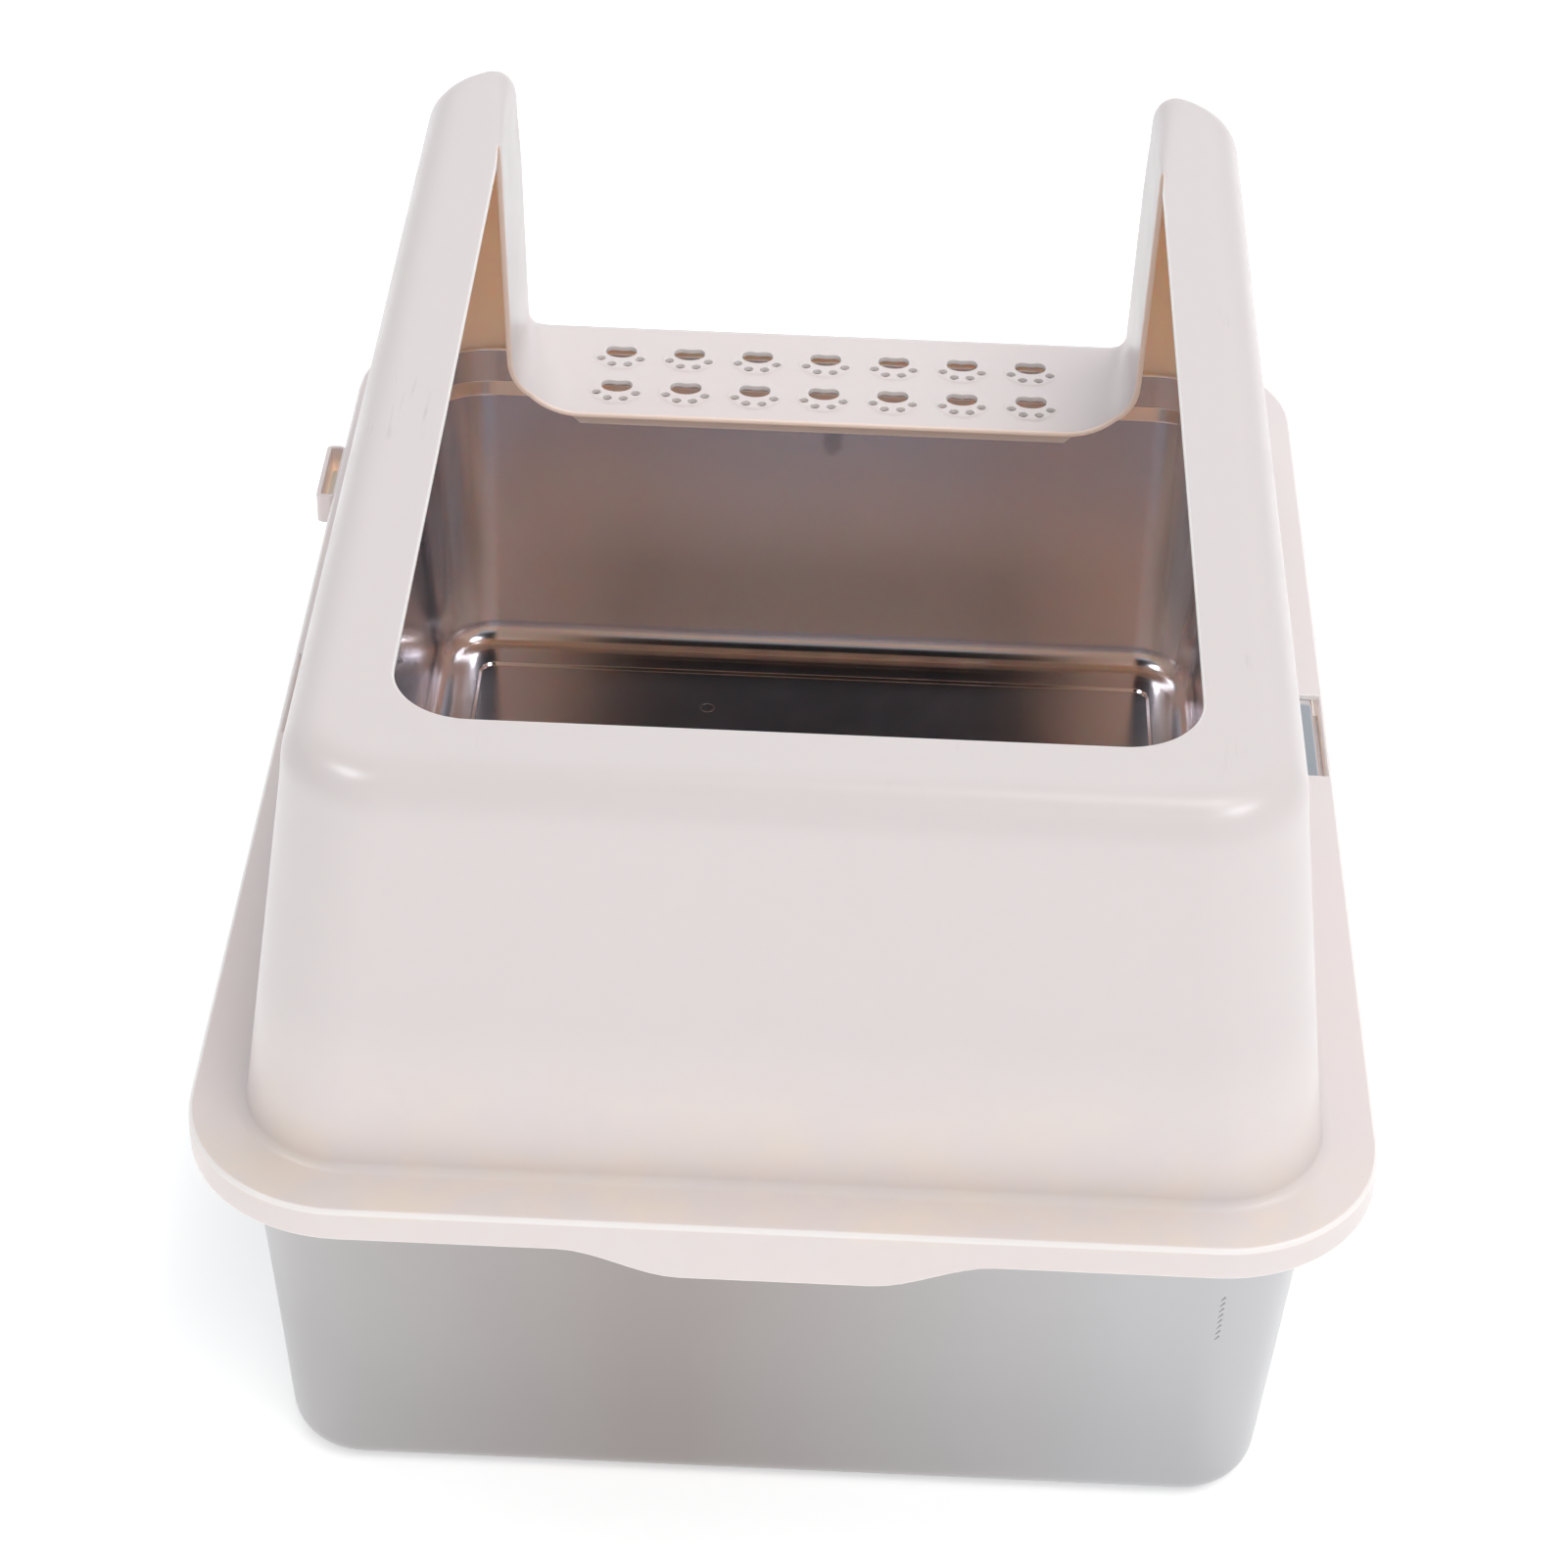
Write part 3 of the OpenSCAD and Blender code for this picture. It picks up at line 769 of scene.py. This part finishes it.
def filleted(points, radii, steps=6):
    """The polyline with each inner corner rounded to its radius."""
    out = [points[0]]
    for before, here, after, r in zip(points, points[1:], points[2:], radii):
        a, b, c = (np.array(p, float) for p in (before, here, after))
        u, v = (a - b) / np.linalg.norm(a - b), (c - b) / np.linalg.norm(c - b)
        half = math.acos(np.clip(u @ v, -1, 1)) / 2
        reach = r / math.tan(half)
        middle = b + (u + v) / np.linalg.norm(u + v) * r / math.sin(half)
        p, q = b + u * reach - middle, b + v * reach - middle
        sweep = math.pi - 2 * half
        for t in (i / steps for i in range(steps + 1)):
            arm = (math.sin((1 - t) * sweep) * p + math.sin(t * sweep) * q) / math.sin(sweep)
            out.append(tuple(middle + arm))
    return out + [points[-1]]


def pan_profile():
    """Inside of the pan from the floor panel to the lip, as (distance from the corner centres, height)."""
    lean = math.tan(math.radians(PAN_LEAN))
    wall = PAN_R0 - PAN_T
    shoulder = wall + lean * SHOULDER_Z
    band = shoulder + SHOULDER_W
    rim, rim_z = pan_hi.x - CENTRE_X, pan_hi.z
    floor = PAN_T + PANEL_DROP
    corners = [(0, PAN_T), (PANEL_R, PAN_T), (PANEL_R + PANEL_SLOPE, floor), (wall, floor),
               (shoulder, SHOULDER_Z), (band, SHOULDER_Z + SHOULDER_H), (band, rim_z),
               (rim, rim_z), (rim, rim_z - LIP_H)]
    radii = (PANEL_FOLD_R, PANEL_FOLD_R, PAN_FILLET - PAN_T, SHOULDER_IN_R, SHOULDER_OUT_R,
             RIM_IN_R, RIM_OUT_R)
    return filleted(corners, radii)


def pan_outline(r):
    """Whole outline of the pan at distance r from the corner centres."""
    centres = ((CENTRE_X, CENTRE_Y), (-CENTRE_X, CENTRE_Y), (-CENTRE_X, -CENTRE_Y), (CENTRE_X, -CENTRE_Y))
    turns = [quarter_turn(x, y, r, 90 * k, PAN_CORNER_STEPS, PAN_CORNER_STEPS + 1)
             for k, (x, y) in enumerate(centres)]
    loop = []
    for k, turn in enumerate(turns):
        (x0, y0), (x1, y1) = turn[-1], turns[(k + 1) % 4][0]
        n = PAN_SIDE_STEPS[k % 2]
        loop += turn + [(x0 + (x1 - x0) * i / n, y0 + (y1 - y0) * i / n) for i in range(1, n)]
    return np.array(loop)


def pan_rows():
    """The pan's profile, with its tall wall divided into short steps."""
    path = pan_profile()
    rows = path[:1]
    for (r0, z0), (r, z) in zip(path, path[1:]):
        if z - z0 > TALL:
            rows += [(r0 + (r - r0) * t, z0 + (z - z0) * t) for t in np.linspace(0, 1, TALL_STEPS)[1:-1]]
        rows.append((r, z))
    return rows


def unevenness(points):
    """How far the drawn steel waves in and out: most on the walls, less on the floor panel."""
    x, y, z = (points / MM).T
    wave = (np.sin(x / 23 + 0.4) * np.sin(z / 31 + y / 67) + np.sin(y / 41 + 1.1) * np.cos(z / 26 - x / 59)
            + 0.6 * np.sin(x / 47 - y / 38 + 2))
    return wave * (WAVINESS * smooth(0, 14, z) * (1 - smooth(105, 124, z)) + FLOOR_WAVINESS * (z < 1))


def pan_sheet():
    """Inside surface of the pan as one sheet, slightly uneven."""
    sheet = Sheet()
    loops = []
    for r, z in pan_rows():
        loop = level(pan_outline(r), z)
        loops.append(np.vstack([loop, loop[:1]]))
    sheet.patch(loops)
    nx, ny = PAN_SIDE_STEPS
    xs, ys = np.linspace(-CENTRE_X, CENTRE_X, nx + 1), np.linspace(-CENTRE_Y, CENTRE_Y, ny + 1)
    sheet.patch([[(x, y, PAN_T) for x in xs] for y in ys])
    points = np.array(sheet.points)
    faces = pan_facing(points, sheet.faces)
    return points + corner_sums(points, faces) * unevenness(points)[:, None], faces


def pan_facing(points, faces):
    """Turns each face towards the pan's inside and top, or outwards on the lip."""
    out = []
    for f in faces:
        p = points[list(f)]
        middle, n = p.mean(0), np.cross(p[1] - p[0], p[2] - p[0])
        n = n / np.linalg.norm(n)
        centre = np.clip(middle[:2], (-CENTRE_X, -CENTRE_Y), (CENTRE_X, CENTRE_Y))
        away = np.append(middle[:2] - centre, 0)
        on_lip = abs(n[2]) < 0.9 and np.linalg.norm(away) > pan_hi.x - CENTRE_X - LIP_BAND
        want = n @ away if on_lip else n[2] - n @ away
        out.append(f if want > 0 else f[::-1])
    return out


def stamp(around=32, across=6):
    """Small raised ring pressed into the pan's floor."""
    points, faces = [], []
    for k in range(across):
        b = 2 * math.pi * k / across
        z = PAN_T + STAMP_T * STAMP_FLAT * math.sin(b)
        points += [(x, y, z) for x, y in circle(*STAMP_AT, STAMP_R + STAMP_T * math.cos(b), around)]
        low, high = around * k, around * ((k + 1) % across)
        faces += [(low + i, low + (i + 1) % around, high + (i + 1) % around, high + i) for i in range(around)]
    return points, faces


def ticks():
    """A row of short slanted marks on the outside of the pan's back wall."""
    parts, lean = [], math.tan(math.radians(PAN_LEAN))
    along, across = Vector(TICK_ALONG), Vector(TICK_ACROSS)
    for k in range(TICKS):
        z = TICK_TOP[1] - TICK_STEP * k
        middle = Vector((TICK_TOP[0] - TICK_SHIFT * k, PAN_T - (CENTRE_Y + PAN_R0 + lean * z), z))
        flat = [middle + along * a + across * b for a, b in ((-1, -1), (1, -1), (1, 1), (-1, 1))]
        points = [tuple(p + Vector((0, d, 0))) for d in (TICK_SUNK, -TICK_PROUD) for p in flat]
        faces = [(0, 1, 2, 3), (7, 6, 5, 4)] + [(i, i + 4, (i + 1) % 4 + 4, (i + 1) % 4) for i in range(4)]
        parts.append(bevelled(points, faces, TICK_SOFT, 1))
    return join(parts)


def ride_as(obj, body, slot, *nodes):
    if nodes:
        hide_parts(*nodes)
    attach(obj, body)
    return obj


def tag(obj, name, values):
    """Stores a number for each vertex, which the materials read by its name."""
    obj.data.attributes.new(name, "FLOAT", "POINT").data.foreach_set("value", values.astype(np.float32))


def tag_hood(hood, sheet, shell, whole):
    """Marks the moulding's inside faces, its edges that get a painted highlight, and where a painted glow
    stands in for light shining through the sheet.
    The points of sheet begin shell's, which begin those of whole."""
    second, rims, rib_at = slice(len(sheet), 2 * len(sheet)), slice(2 * len(sheet), len(shell)), len(shell)
    inner, edge, glow = (np.zeros(len(whole)) for _ in range(3))
    y, z = shell[rims, 1], shell[rims, 2]
    near = (z > STEP_Z - NEAR_RIM_Z) & (np.abs(y - near_y(z)) < NEAR_RIM_Y)
    inner[second], inner[rims], inner[rib_at:] = 1, near * HALF_INSIDE, HALF_INSIDE
    bend = (sheet[:, 2] > FLANGE_Z - 0.75 * EDGE_R) & (sheet[:, 2] < FLANGE_Z - 0.05 * EDGE_R)
    # painted highlight: the flange's top bend and every free edge except the step's near edge are painted
    # paler
    edge[:len(sheet)], edge[rims] = bend, ~near
    # painted glow on the step's near edge and the rib
    glow[rims], glow[rib_at:] = near, RIB_GLOW
    for name, values in (("inner", inner), ("edge", edge), ("glow", glow)):
        tag(hood, name, values)


def build_hood():
    sheet, faces = hood_mesh()
    shell = thicken(sheet, faces, SHEET, lambda length: RIM_R if length > LONG_RIM else HOLE_RIM_R)
    whole = join([shell, rib()])
    hood = add_object("hood_moulding", *whole)
    tag_hood(hood, sheet, shell[0], whole[0])
    ride_as(hood, "hood", "hood_plastic", "hood_flange", "hood_shell", "entry_step")
    points, faces, before = loop_mesh()
    loop = add_object("scoop_socket", points, faces)
    inner = (np.arange(len(points)) >= before) * 1.0
    tag(loop, "inner", inner)
    # painted glow inside the loop
    tag(loop, "glow", inner * LOOP_GLOW)
    ride_as(loop, "hood", "hood_plastic", "scoop_loop")
    hooks = []
    for name, side in (("left", -1), ("right", 1)):
        hook = add_object(f"hook_{name}", *hook_mesh(side))
        hooks.append(ride_as(hook, "hood", "hood_plastic", f"snap_hook_{name}"))
    return [hood, loop, *hooks]


def build_pan():
    sheet, faces = pan_sheet()
    shell, faces = thicken(sheet, faces, PAN_T, lambda length: PAN_RIM_R)
    shell[:, 2] = np.maximum(shell[:, 2], 0)
    points, faces = join([(shell, faces), stamp()])
    pan = add_object("steel_pan", points, faces)
    inner = np.ones(len(points))
    inner[len(sheet):len(shell)] = 0
    tag(pan, "inner", inner)
    ride_as(pan, "pan", "steel", "pan")
    return [pan], [ride_as(add_object("pan_marks", *ticks()), "pan", "steel")]


class Nodes:
    """Short hand for building one node tree."""

    def __init__(self, tree):
        self.tree = tree
        tree.nodes.clear()

    def plug(self, socket, value):
        """Links another node's output to the socket, or sets the socket to a value."""
        if isinstance(value, bpy.types.NodeSocket):
            self.tree.links.new(value, socket)
        else:
            socket.default_value = value

    def add(self, kind, inputs=None, **settings):
        node = self.tree.nodes.new(kind)
        for name, value in settings.items():
            setattr(node, name, value)
        for name, value in (inputs or {}).items():
            self.plug(node.inputs[name], value)
        return node

    def place(self):
        """The object's own coordinates, together and one by one."""
        where = self.add("ShaderNodeTexCoord").outputs["Object"]
        return where, *self.add("ShaderNodeSeparateXYZ", {"Vector": where}).outputs

    def tagged(self, name):
        return self.add("ShaderNodeAttribute", attribute_name=name).outputs["Fac"]

    def stretched(self, where, scale):
        return self.add("ShaderNodeMapping", {"Vector": where, "Scale": scale}).outputs[0]

    def noise(self, where, scale, detail=3.0, rough=0.5):
        inputs = {"Vector": where, "Scale": scale, "Detail": detail, "Roughness": rough}
        return self.add("ShaderNodeTexNoise", inputs).outputs["Fac"]

    def specks(self, where, density, radii):
        """A small round spot, soft between two radii, in one cell of ten."""
        cells = self.add("ShaderNodeTexVoronoi", {"Vector": where, "Scale": density})
        draw = self.add("ShaderNodeSeparateColor", {"Color": cells.outputs["Color"]}).outputs[0]
        return self.times(self.fall(cells.outputs["Distance"], radii), self.rise(draw, (0.90, 0.91)))

    def bump(self, height, strength, distance, **more):
        inputs = {"Height": height, "Strength": strength, "Distance": distance, **more}
        return self.add("ShaderNodeBump", inputs).outputs["Normal"]

    def scale(self, value, low, high, to_low, to_high):
        inputs = {"Value": value, "From Min": low, "From Max": high, "To Min": to_low, "To Max": to_high}
        return self.add("ShaderNodeMapRange", inputs).outputs["Result"]

    def rise(self, value, ends):
        """0 up to the first end, 1 from the second."""
        return self.scale(value, *ends, 0.0, 1.0)

    def fall(self, value, ends):
        """1 up to the first end, 0 from the second."""
        return self.scale(value, *ends, 1.0, 0.0)

    def mix(self, share, a, b, how="MIX"):
        node = self.add("ShaderNodeMix", data_type="RGBA", blend_type=how)
        for at, value in ((0, share), (6, a), (7, b)):
            self.plug(node.inputs[at], value)
        return node.outputs[2]

    def math(self, how, a, b=0.0):
        return self.add("ShaderNodeMath", {0: a, 1: b}, operation=how).outputs[0]

    def plus(self, a, b):
        return self.math("ADD", a, b)

    def times(self, first, *others):
        for other in others:
            first = self.math("MULTIPLY", first, other)
        return first

    def principled(self, **inputs):
        """Principled shader with its sockets linked or set, wired to the output."""
        inputs = {name.replace("_", " "): value for name, value in inputs.items()}
        shader = self.add("ShaderNodeBsdfPrincipled", inputs)
        self.tree.links.new(shader.outputs[0], self.add("ShaderNodeOutputMaterial").inputs[0])


def new_material(name):
    mat = bpy.data.materials.new(name)
    mat.use_nodes = True
    return mat, Nodes(mat.node_tree)


def foot_stains_and_light(n, where, y, z):
    """Where the back wall is dull low down, and the patches of that which get a warm stain. The stain is
    painted lighter than the plastic to offset the shade at the walls' foot.
    """
    low = n.times(n.fall(z, STAIN_Z), n.fall(y, STAIN_Y), n.scale(z, FLANGE_Z - 4 * MM, FLANGE_Z, 0.15, 1.0))
    patchy = n.scale(n.noise(where, 26.0, 3.0, 0.62), 0.42, 0.62, 0.15, 1.0)
    return low, n.times(low, patchy, STAIN_AND_LIGHT_SHARE)


def scuffs(n, where, z):
    """Small grey scuffs on the arms and ring, in streaks along the length."""
    rare = n.rise(n.noise(where, 21.0, 2.0), RARE)
    streaks = n.noise(n.stretched(where, (480.0, 26.0, 260.0)), 1.0, 2.0, 0.6)
    return n.times(n.rise(streaks, RARE), rare, n.rise(z, SCUFF_Z), SCUFF_SHARE)


def plastic():
    """Satin beige moulding, a little see-through, with faint staining, scuffs and specks. Painted light: the
    upper walls are painted darker than the lower, the inner faces a warmer tan, the edges paler as painted
    highlights and the stain at the walls' foot lighter against the shade there. There is also a painted glow
    at the step's near edge, the rib and the loop.
    """
    mat, n = new_material("hood_plastic")
    where, _, y, z = n.place()
    inner = n.tagged("inner")
    cloud = n.rise(n.noise(where, 8.0, 2.0), PATCHES)
    # painted shade: the moulding is painted darker above HIGH_WALL_Z and lighter below it
    base = n.mix(n.rise(z, HIGH_WALL_Z), n.mix(cloud, PLASTIC, PLASTIC_WARM), PLASTIC_UPPER_SHADED)
    dull, stained_and_lit = foot_stains_and_light(n, where, y, z)
    # warm stain at the back wall's foot, painted lighter against the shade there
    base = n.mix(stained_and_lit, base, STAIN_AND_LIGHT)
    base = n.mix(scuffs(n, where, z), base, GRIME)
    base = n.mix(n.times(n.specks(where, 34.0, (0.018, 0.026)), SPECK_SHARE), base, GRIME)
    # painted light: inner faces painted warmer tan for the light shining through the sheet
    base = n.mix(n.times(inner, INNER_SHARE), base, PLASTIC_INNER_LIT_TAN)
    # painted highlight: marked edges painted paler
    base = n.mix(n.times(n.tagged("edge"), EDGE_HIGHLIGHT_SHARE), base, PLASTIC_EDGE_HIGHLIGHT)
    rough = n.scale(n.noise(where, 55.0, 2.0), 0.3, 0.7, *PLASTIC_ROUGH)
    broad = n.bump(n.noise(where, 38.0, 1.0), 0.10, 0.6 * MM)
    n.principled(
        Base_Color=base, Roughness=n.plus(rough, n.times(dull, STAIN_ROUGH)), Specular_IOR_Level=0.5,
        Normal=n.bump(n.noise(where, 700.0, 1.0), 0.06, 0.1 * MM, Normal=broad),
        # painted glow: emission where the glow tag is set
        Emission_Color=RIM_GLOW,
        Emission_Strength=n.times(n.tagged("glow"), n.scale(cloud, 0.0, 1.0, 0.85, 1.0)),
        Subsurface_Weight=n.scale(inner, HALF_INSIDE, 1.0, SSS_OUTSIDE, SSS_INSIDE),
        Subsurface_Radius=SSS_RADIUS, Subsurface_Scale=SSS_SCALE)
    return mat


def steel_outside(n, x, cloud):
    """Painted shade: the outside is painted darker than the inside, standing in for the dimmer surroundings
    that it mirrors. It is darker and warmer still in a broad patch left of the middle.
    """
    aside = n.math("ABSOLUTE", n.plus(n.plus(x, -DARK_PATCH_AT), n.times(cloud, DARK_PATCH_WOBBLE)))
    return n.mix(n.times(n.fall(aside, DARK_PATCH_X), DARK_PATCH_SHARE), STEEL_OUTSIDE_SHADED, STEEL_DARK_PATCH)


def floor_dark_reflection(n, x, y, z):
    """Painted reflection: the middle of the floor is painted dark, most of all at the far end, for the dark
    room that it mirrors.
    """
    width = n.fall(n.math("ABSOLUTE", x), DARK_FLOOR_X)
    return n.times(n.fall(z, DARK_FLOOR_Z), width, n.scale(y, *DARK_FLOOR_Y, DARK_FLOOR_NEAR, DARK_FLOOR_FAR))


def corner_glints(n, where, x, y):
    """Painted reflection: pale upright streaks in the corners, strongest on the right, standing in for the
    light from the opening mirrored there.
    """
    streaks = n.scale(n.noise(n.stretched(where, (110.0, 110.0, 2.5)), 1.0, 2.0), 0.38, 0.55, 0.25, 1.0)
    corner = n.times(n.rise(n.math("ABSOLUTE", x), GLINT_X), n.rise(n.math("ABSOLUTE", y), GLINT_Y))
    return n.times(streaks, corner, n.scale(x, -170 * MM, 170 * MM, 0.3, 1.0))


def far_wall_spot(n, where):
    """A soft darker spot on the far wall."""
    off = n.add("ShaderNodeVectorMath", {0: where, 1: FAR_SPOT_AT}, operation="SUBTRACT").outputs[0]
    away = n.add("ShaderNodeVectorMath", {0: n.stretched(off, FAR_SPOT_SCALE)}, operation="LENGTH")
    reach = n.plus(away.outputs["Value"], n.noise(where, 90.0, 2.0))
    return n.scale(reach, *FAR_SPOT_EDGE, FAR_SPOT_SHARE, 0.0)


def steel():
    """Satin drawn stainless steel with a fine grain and small dark specks. Painted light: the outside is
    painted darker than the inside, the floor's middle dark and pale streaks in the corners as painted
    reflections, and the rim's top as a painted highlight. A soft darker spot sits on the far wall.
    """
    mat, n = new_material("steel")
    where, x, y, z = n.place()
    inner = n.tagged("inner")
    cloud = n.rise(n.noise(where, 6.0, 2.0), PATCHES)
    base = n.mix(inner, steel_outside(n, x, cloud), n.mix(cloud, STEEL, STEEL_WARM))
    # painted highlight on the rim's top
    base = n.mix(n.rise(z, RIM_TOP_Z), base, STEEL_RIM_HIGHLIGHT)
    # painted reflection: the floor's middle painted dark
    base = n.mix(n.times(floor_dark_reflection(n, x, y, z), inner), base, STEEL_DARK_REFLECTION)
    # painted reflection: pale, less metallic streaks in the corners
    drawn = n.times(corner_glints(n, where, x, y), inner)
    base = n.mix(drawn, base, STEEL_GLINT)
    base = n.mix(far_wall_spot(n, where), base, DARK_SPOT)
    base = n.mix(n.times(n.specks(where, 28.0, (0.02, 0.03)), SPOT_SHARE), base, DARK_SPOT)
    rough = n.scale(n.noise(where, 30.0, 2.0, 0.6), 0.3, 0.7, *STEEL_ROUGH)
    n.principled(
        Base_Color=base, Metallic=n.scale(drawn, 0.0, 1.0, 1.0, GLINT_METAL),
        Roughness=n.plus(rough, n.scale(inner, 0.0, 1.0, OUTSIDE_ROUGH, 0.0)),
        Normal=n.bump(n.noise(where, 420.0, 1.0), 0.015, 0.05 * MM))
    return mat


def ink():
    """Dull dark steel of the small stamped marks."""
    mat, n = new_material("steel_marks")
    where = n.place()[0]
    tone = n.rise(n.noise(where, 900.0), (0.3, 0.7))
    n.principled(Base_Color=n.mix(tone, MARK_DARK, MARK_LIGHT), Metallic=1.0,
                 Roughness=n.scale(tone, 0.0, 1.0, 0.4, 0.55))
    return mat


def plain(name, colour, glow=0.0):
    """Matte studio surface."""
    mat, n = new_material(name)
    tone = n.scale(n.noise(n.place()[0], 2.0), 0.3, 0.7, 0.98, 1.0)
    shade = n.add("ShaderNodeCombineColor", {0: tone, 1: tone, 2: tone}).outputs[0]
    n.principled(Base_Color=n.mix(1.0, colour, shade, "MULTIPLY"), Roughness=0.9, Specular_IOR_Level=0.2,
                 Emission_Color=colour, Emission_Strength=glow)
    return mat


def paint(objs, mat):
    for o in objs:
        o.data.materials.append(mat)
        weighted = o.modifiers.new("normals", "WEIGHTED_NORMAL")
        weighted.mode, weighted.weight, weighted.keep_sharp = "FACE_AREA_WITH_ANGLE", 60, True


def studio_floor():
    """A large pale floor under the object."""
    half = FLOOR_SIZE / 2
    corners = ((-half, -half, 0), (half, -half, 0), (half, half, 0), (-half, half, 0))
    floor = add_object("floor", corners, [(0, 1, 2, 3)])
    floor.data.materials.append(plain("floor", STUDIO_FLOOR, FLOOR_GLOW))


def softbox(name, centre, width, height, power, colour):
    """A rectangular light aimed at the object."""
    light = bpy.data.lights.new(name, "AREA")
    light.shape, light.size, light.size_y = "RECTANGLE", width, height
    light.energy, light.color = power, colour
    lamp = linked(name, light)
    lamp.location = centre
    lamp.rotation_euler = (Vector(LIT_POINT) - Vector(centre)).to_track_quat("-Z", "Y").to_euler()
    return lamp


def surroundings():
    """A pale world for light. Mirrored rays see it bright up to the backdrop's top, and a dark room above."""
    world = bpy.data.worlds.new("world")
    bpy.context.scene.world = world
    world.use_nodes = True
    n = Nodes(world.node_tree)
    way = n.add("ShaderNodeTexCoord").outputs["Generated"]
    height = n.add("ShaderNodeSeparateXYZ", {"Vector": way}).outputs[2]
    sky = n.mix(n.rise(height, (0.0, 0.8)), WORLD_LOW, WORLD_HIGH)
    seen = n.mix(n.rise(height, BACKDROP_TOP), WORLD_LOW, ROOM)
    glossy = n.add("ShaderNodeLightPath").outputs["Is Glossy Ray"]
    back = n.add("ShaderNodeBackground", {"Color": n.mix(glossy, sky, seen), "Strength": WORLD_STRENGTH})
    n.tree.links.new(back.outputs[0], n.add("ShaderNodeOutputWorld").inputs[0])


def studio():
    """Floor, world and five soft lights. The side lights only make highlights; only the top light of
    the others shows in reflections."""
    scene = bpy.context.scene
    scene.view_settings.view_transform = "Standard"
    scene.cycles.max_bounces, scene.cycles.diffuse_bounces = 8, 3
    surroundings()
    studio_floor()
    for side, x in (("left", -1.45), ("right", 1.45)):
        softbox(f"soft_{side}", (x, -0.6, 2.5), 0.8, 0.6, SIDE_POWER, SIDE_TINT).visible_diffuse = False
    softbox("soft_front", (0.9, -1.9, 3.2), 2.2, 1.2, FRONT_POWER, NEUTRAL).visible_glossy = False
    softbox("soft_top", (0.7, 0.3, 3.1), 1.1, 0.8, TOP_POWER, NEUTRAL)
    softbox("soft_back", (0, 2.7, 1.9), 2.4, 1.2, BACK_POWER, COOL).visible_glossy = False


def camera():
    """The viewing angle: pitched down, turned and rolled a little."""
    pitch, yaw, roll = CAMERA_PITCH, CAMERA_YAW, CAMERA_ROLL
    ahead = Vector((math.sin(yaw) * math.cos(pitch), math.cos(yaw) * math.cos(pitch), -math.sin(pitch)))
    right = Vector((math.cos(yaw), -math.sin(yaw), 0))
    down = ahead.cross(right)
    c, s = math.cos(roll), math.sin(roll)
    right, down = c * right + s * down, -s * right + c * down
    data = bpy.data.cameras.new("camera")
    data.lens, data.sensor_width = LENS, SENSOR
    cam = linked("camera", data)
    turn = Matrix((right, -down, -ahead)).transposed().to_4x4()
    cam.matrix_world = Matrix.Translation(CAMERA_AT) @ turn
    bpy.context.scene.camera = cam


hood_parts = build_hood()
paint(hood_parts, plastic())
pan_parts, mark_parts = build_pan()
paint(pan_parts, steel())
paint(mark_parts, ink())
camera()
studio()
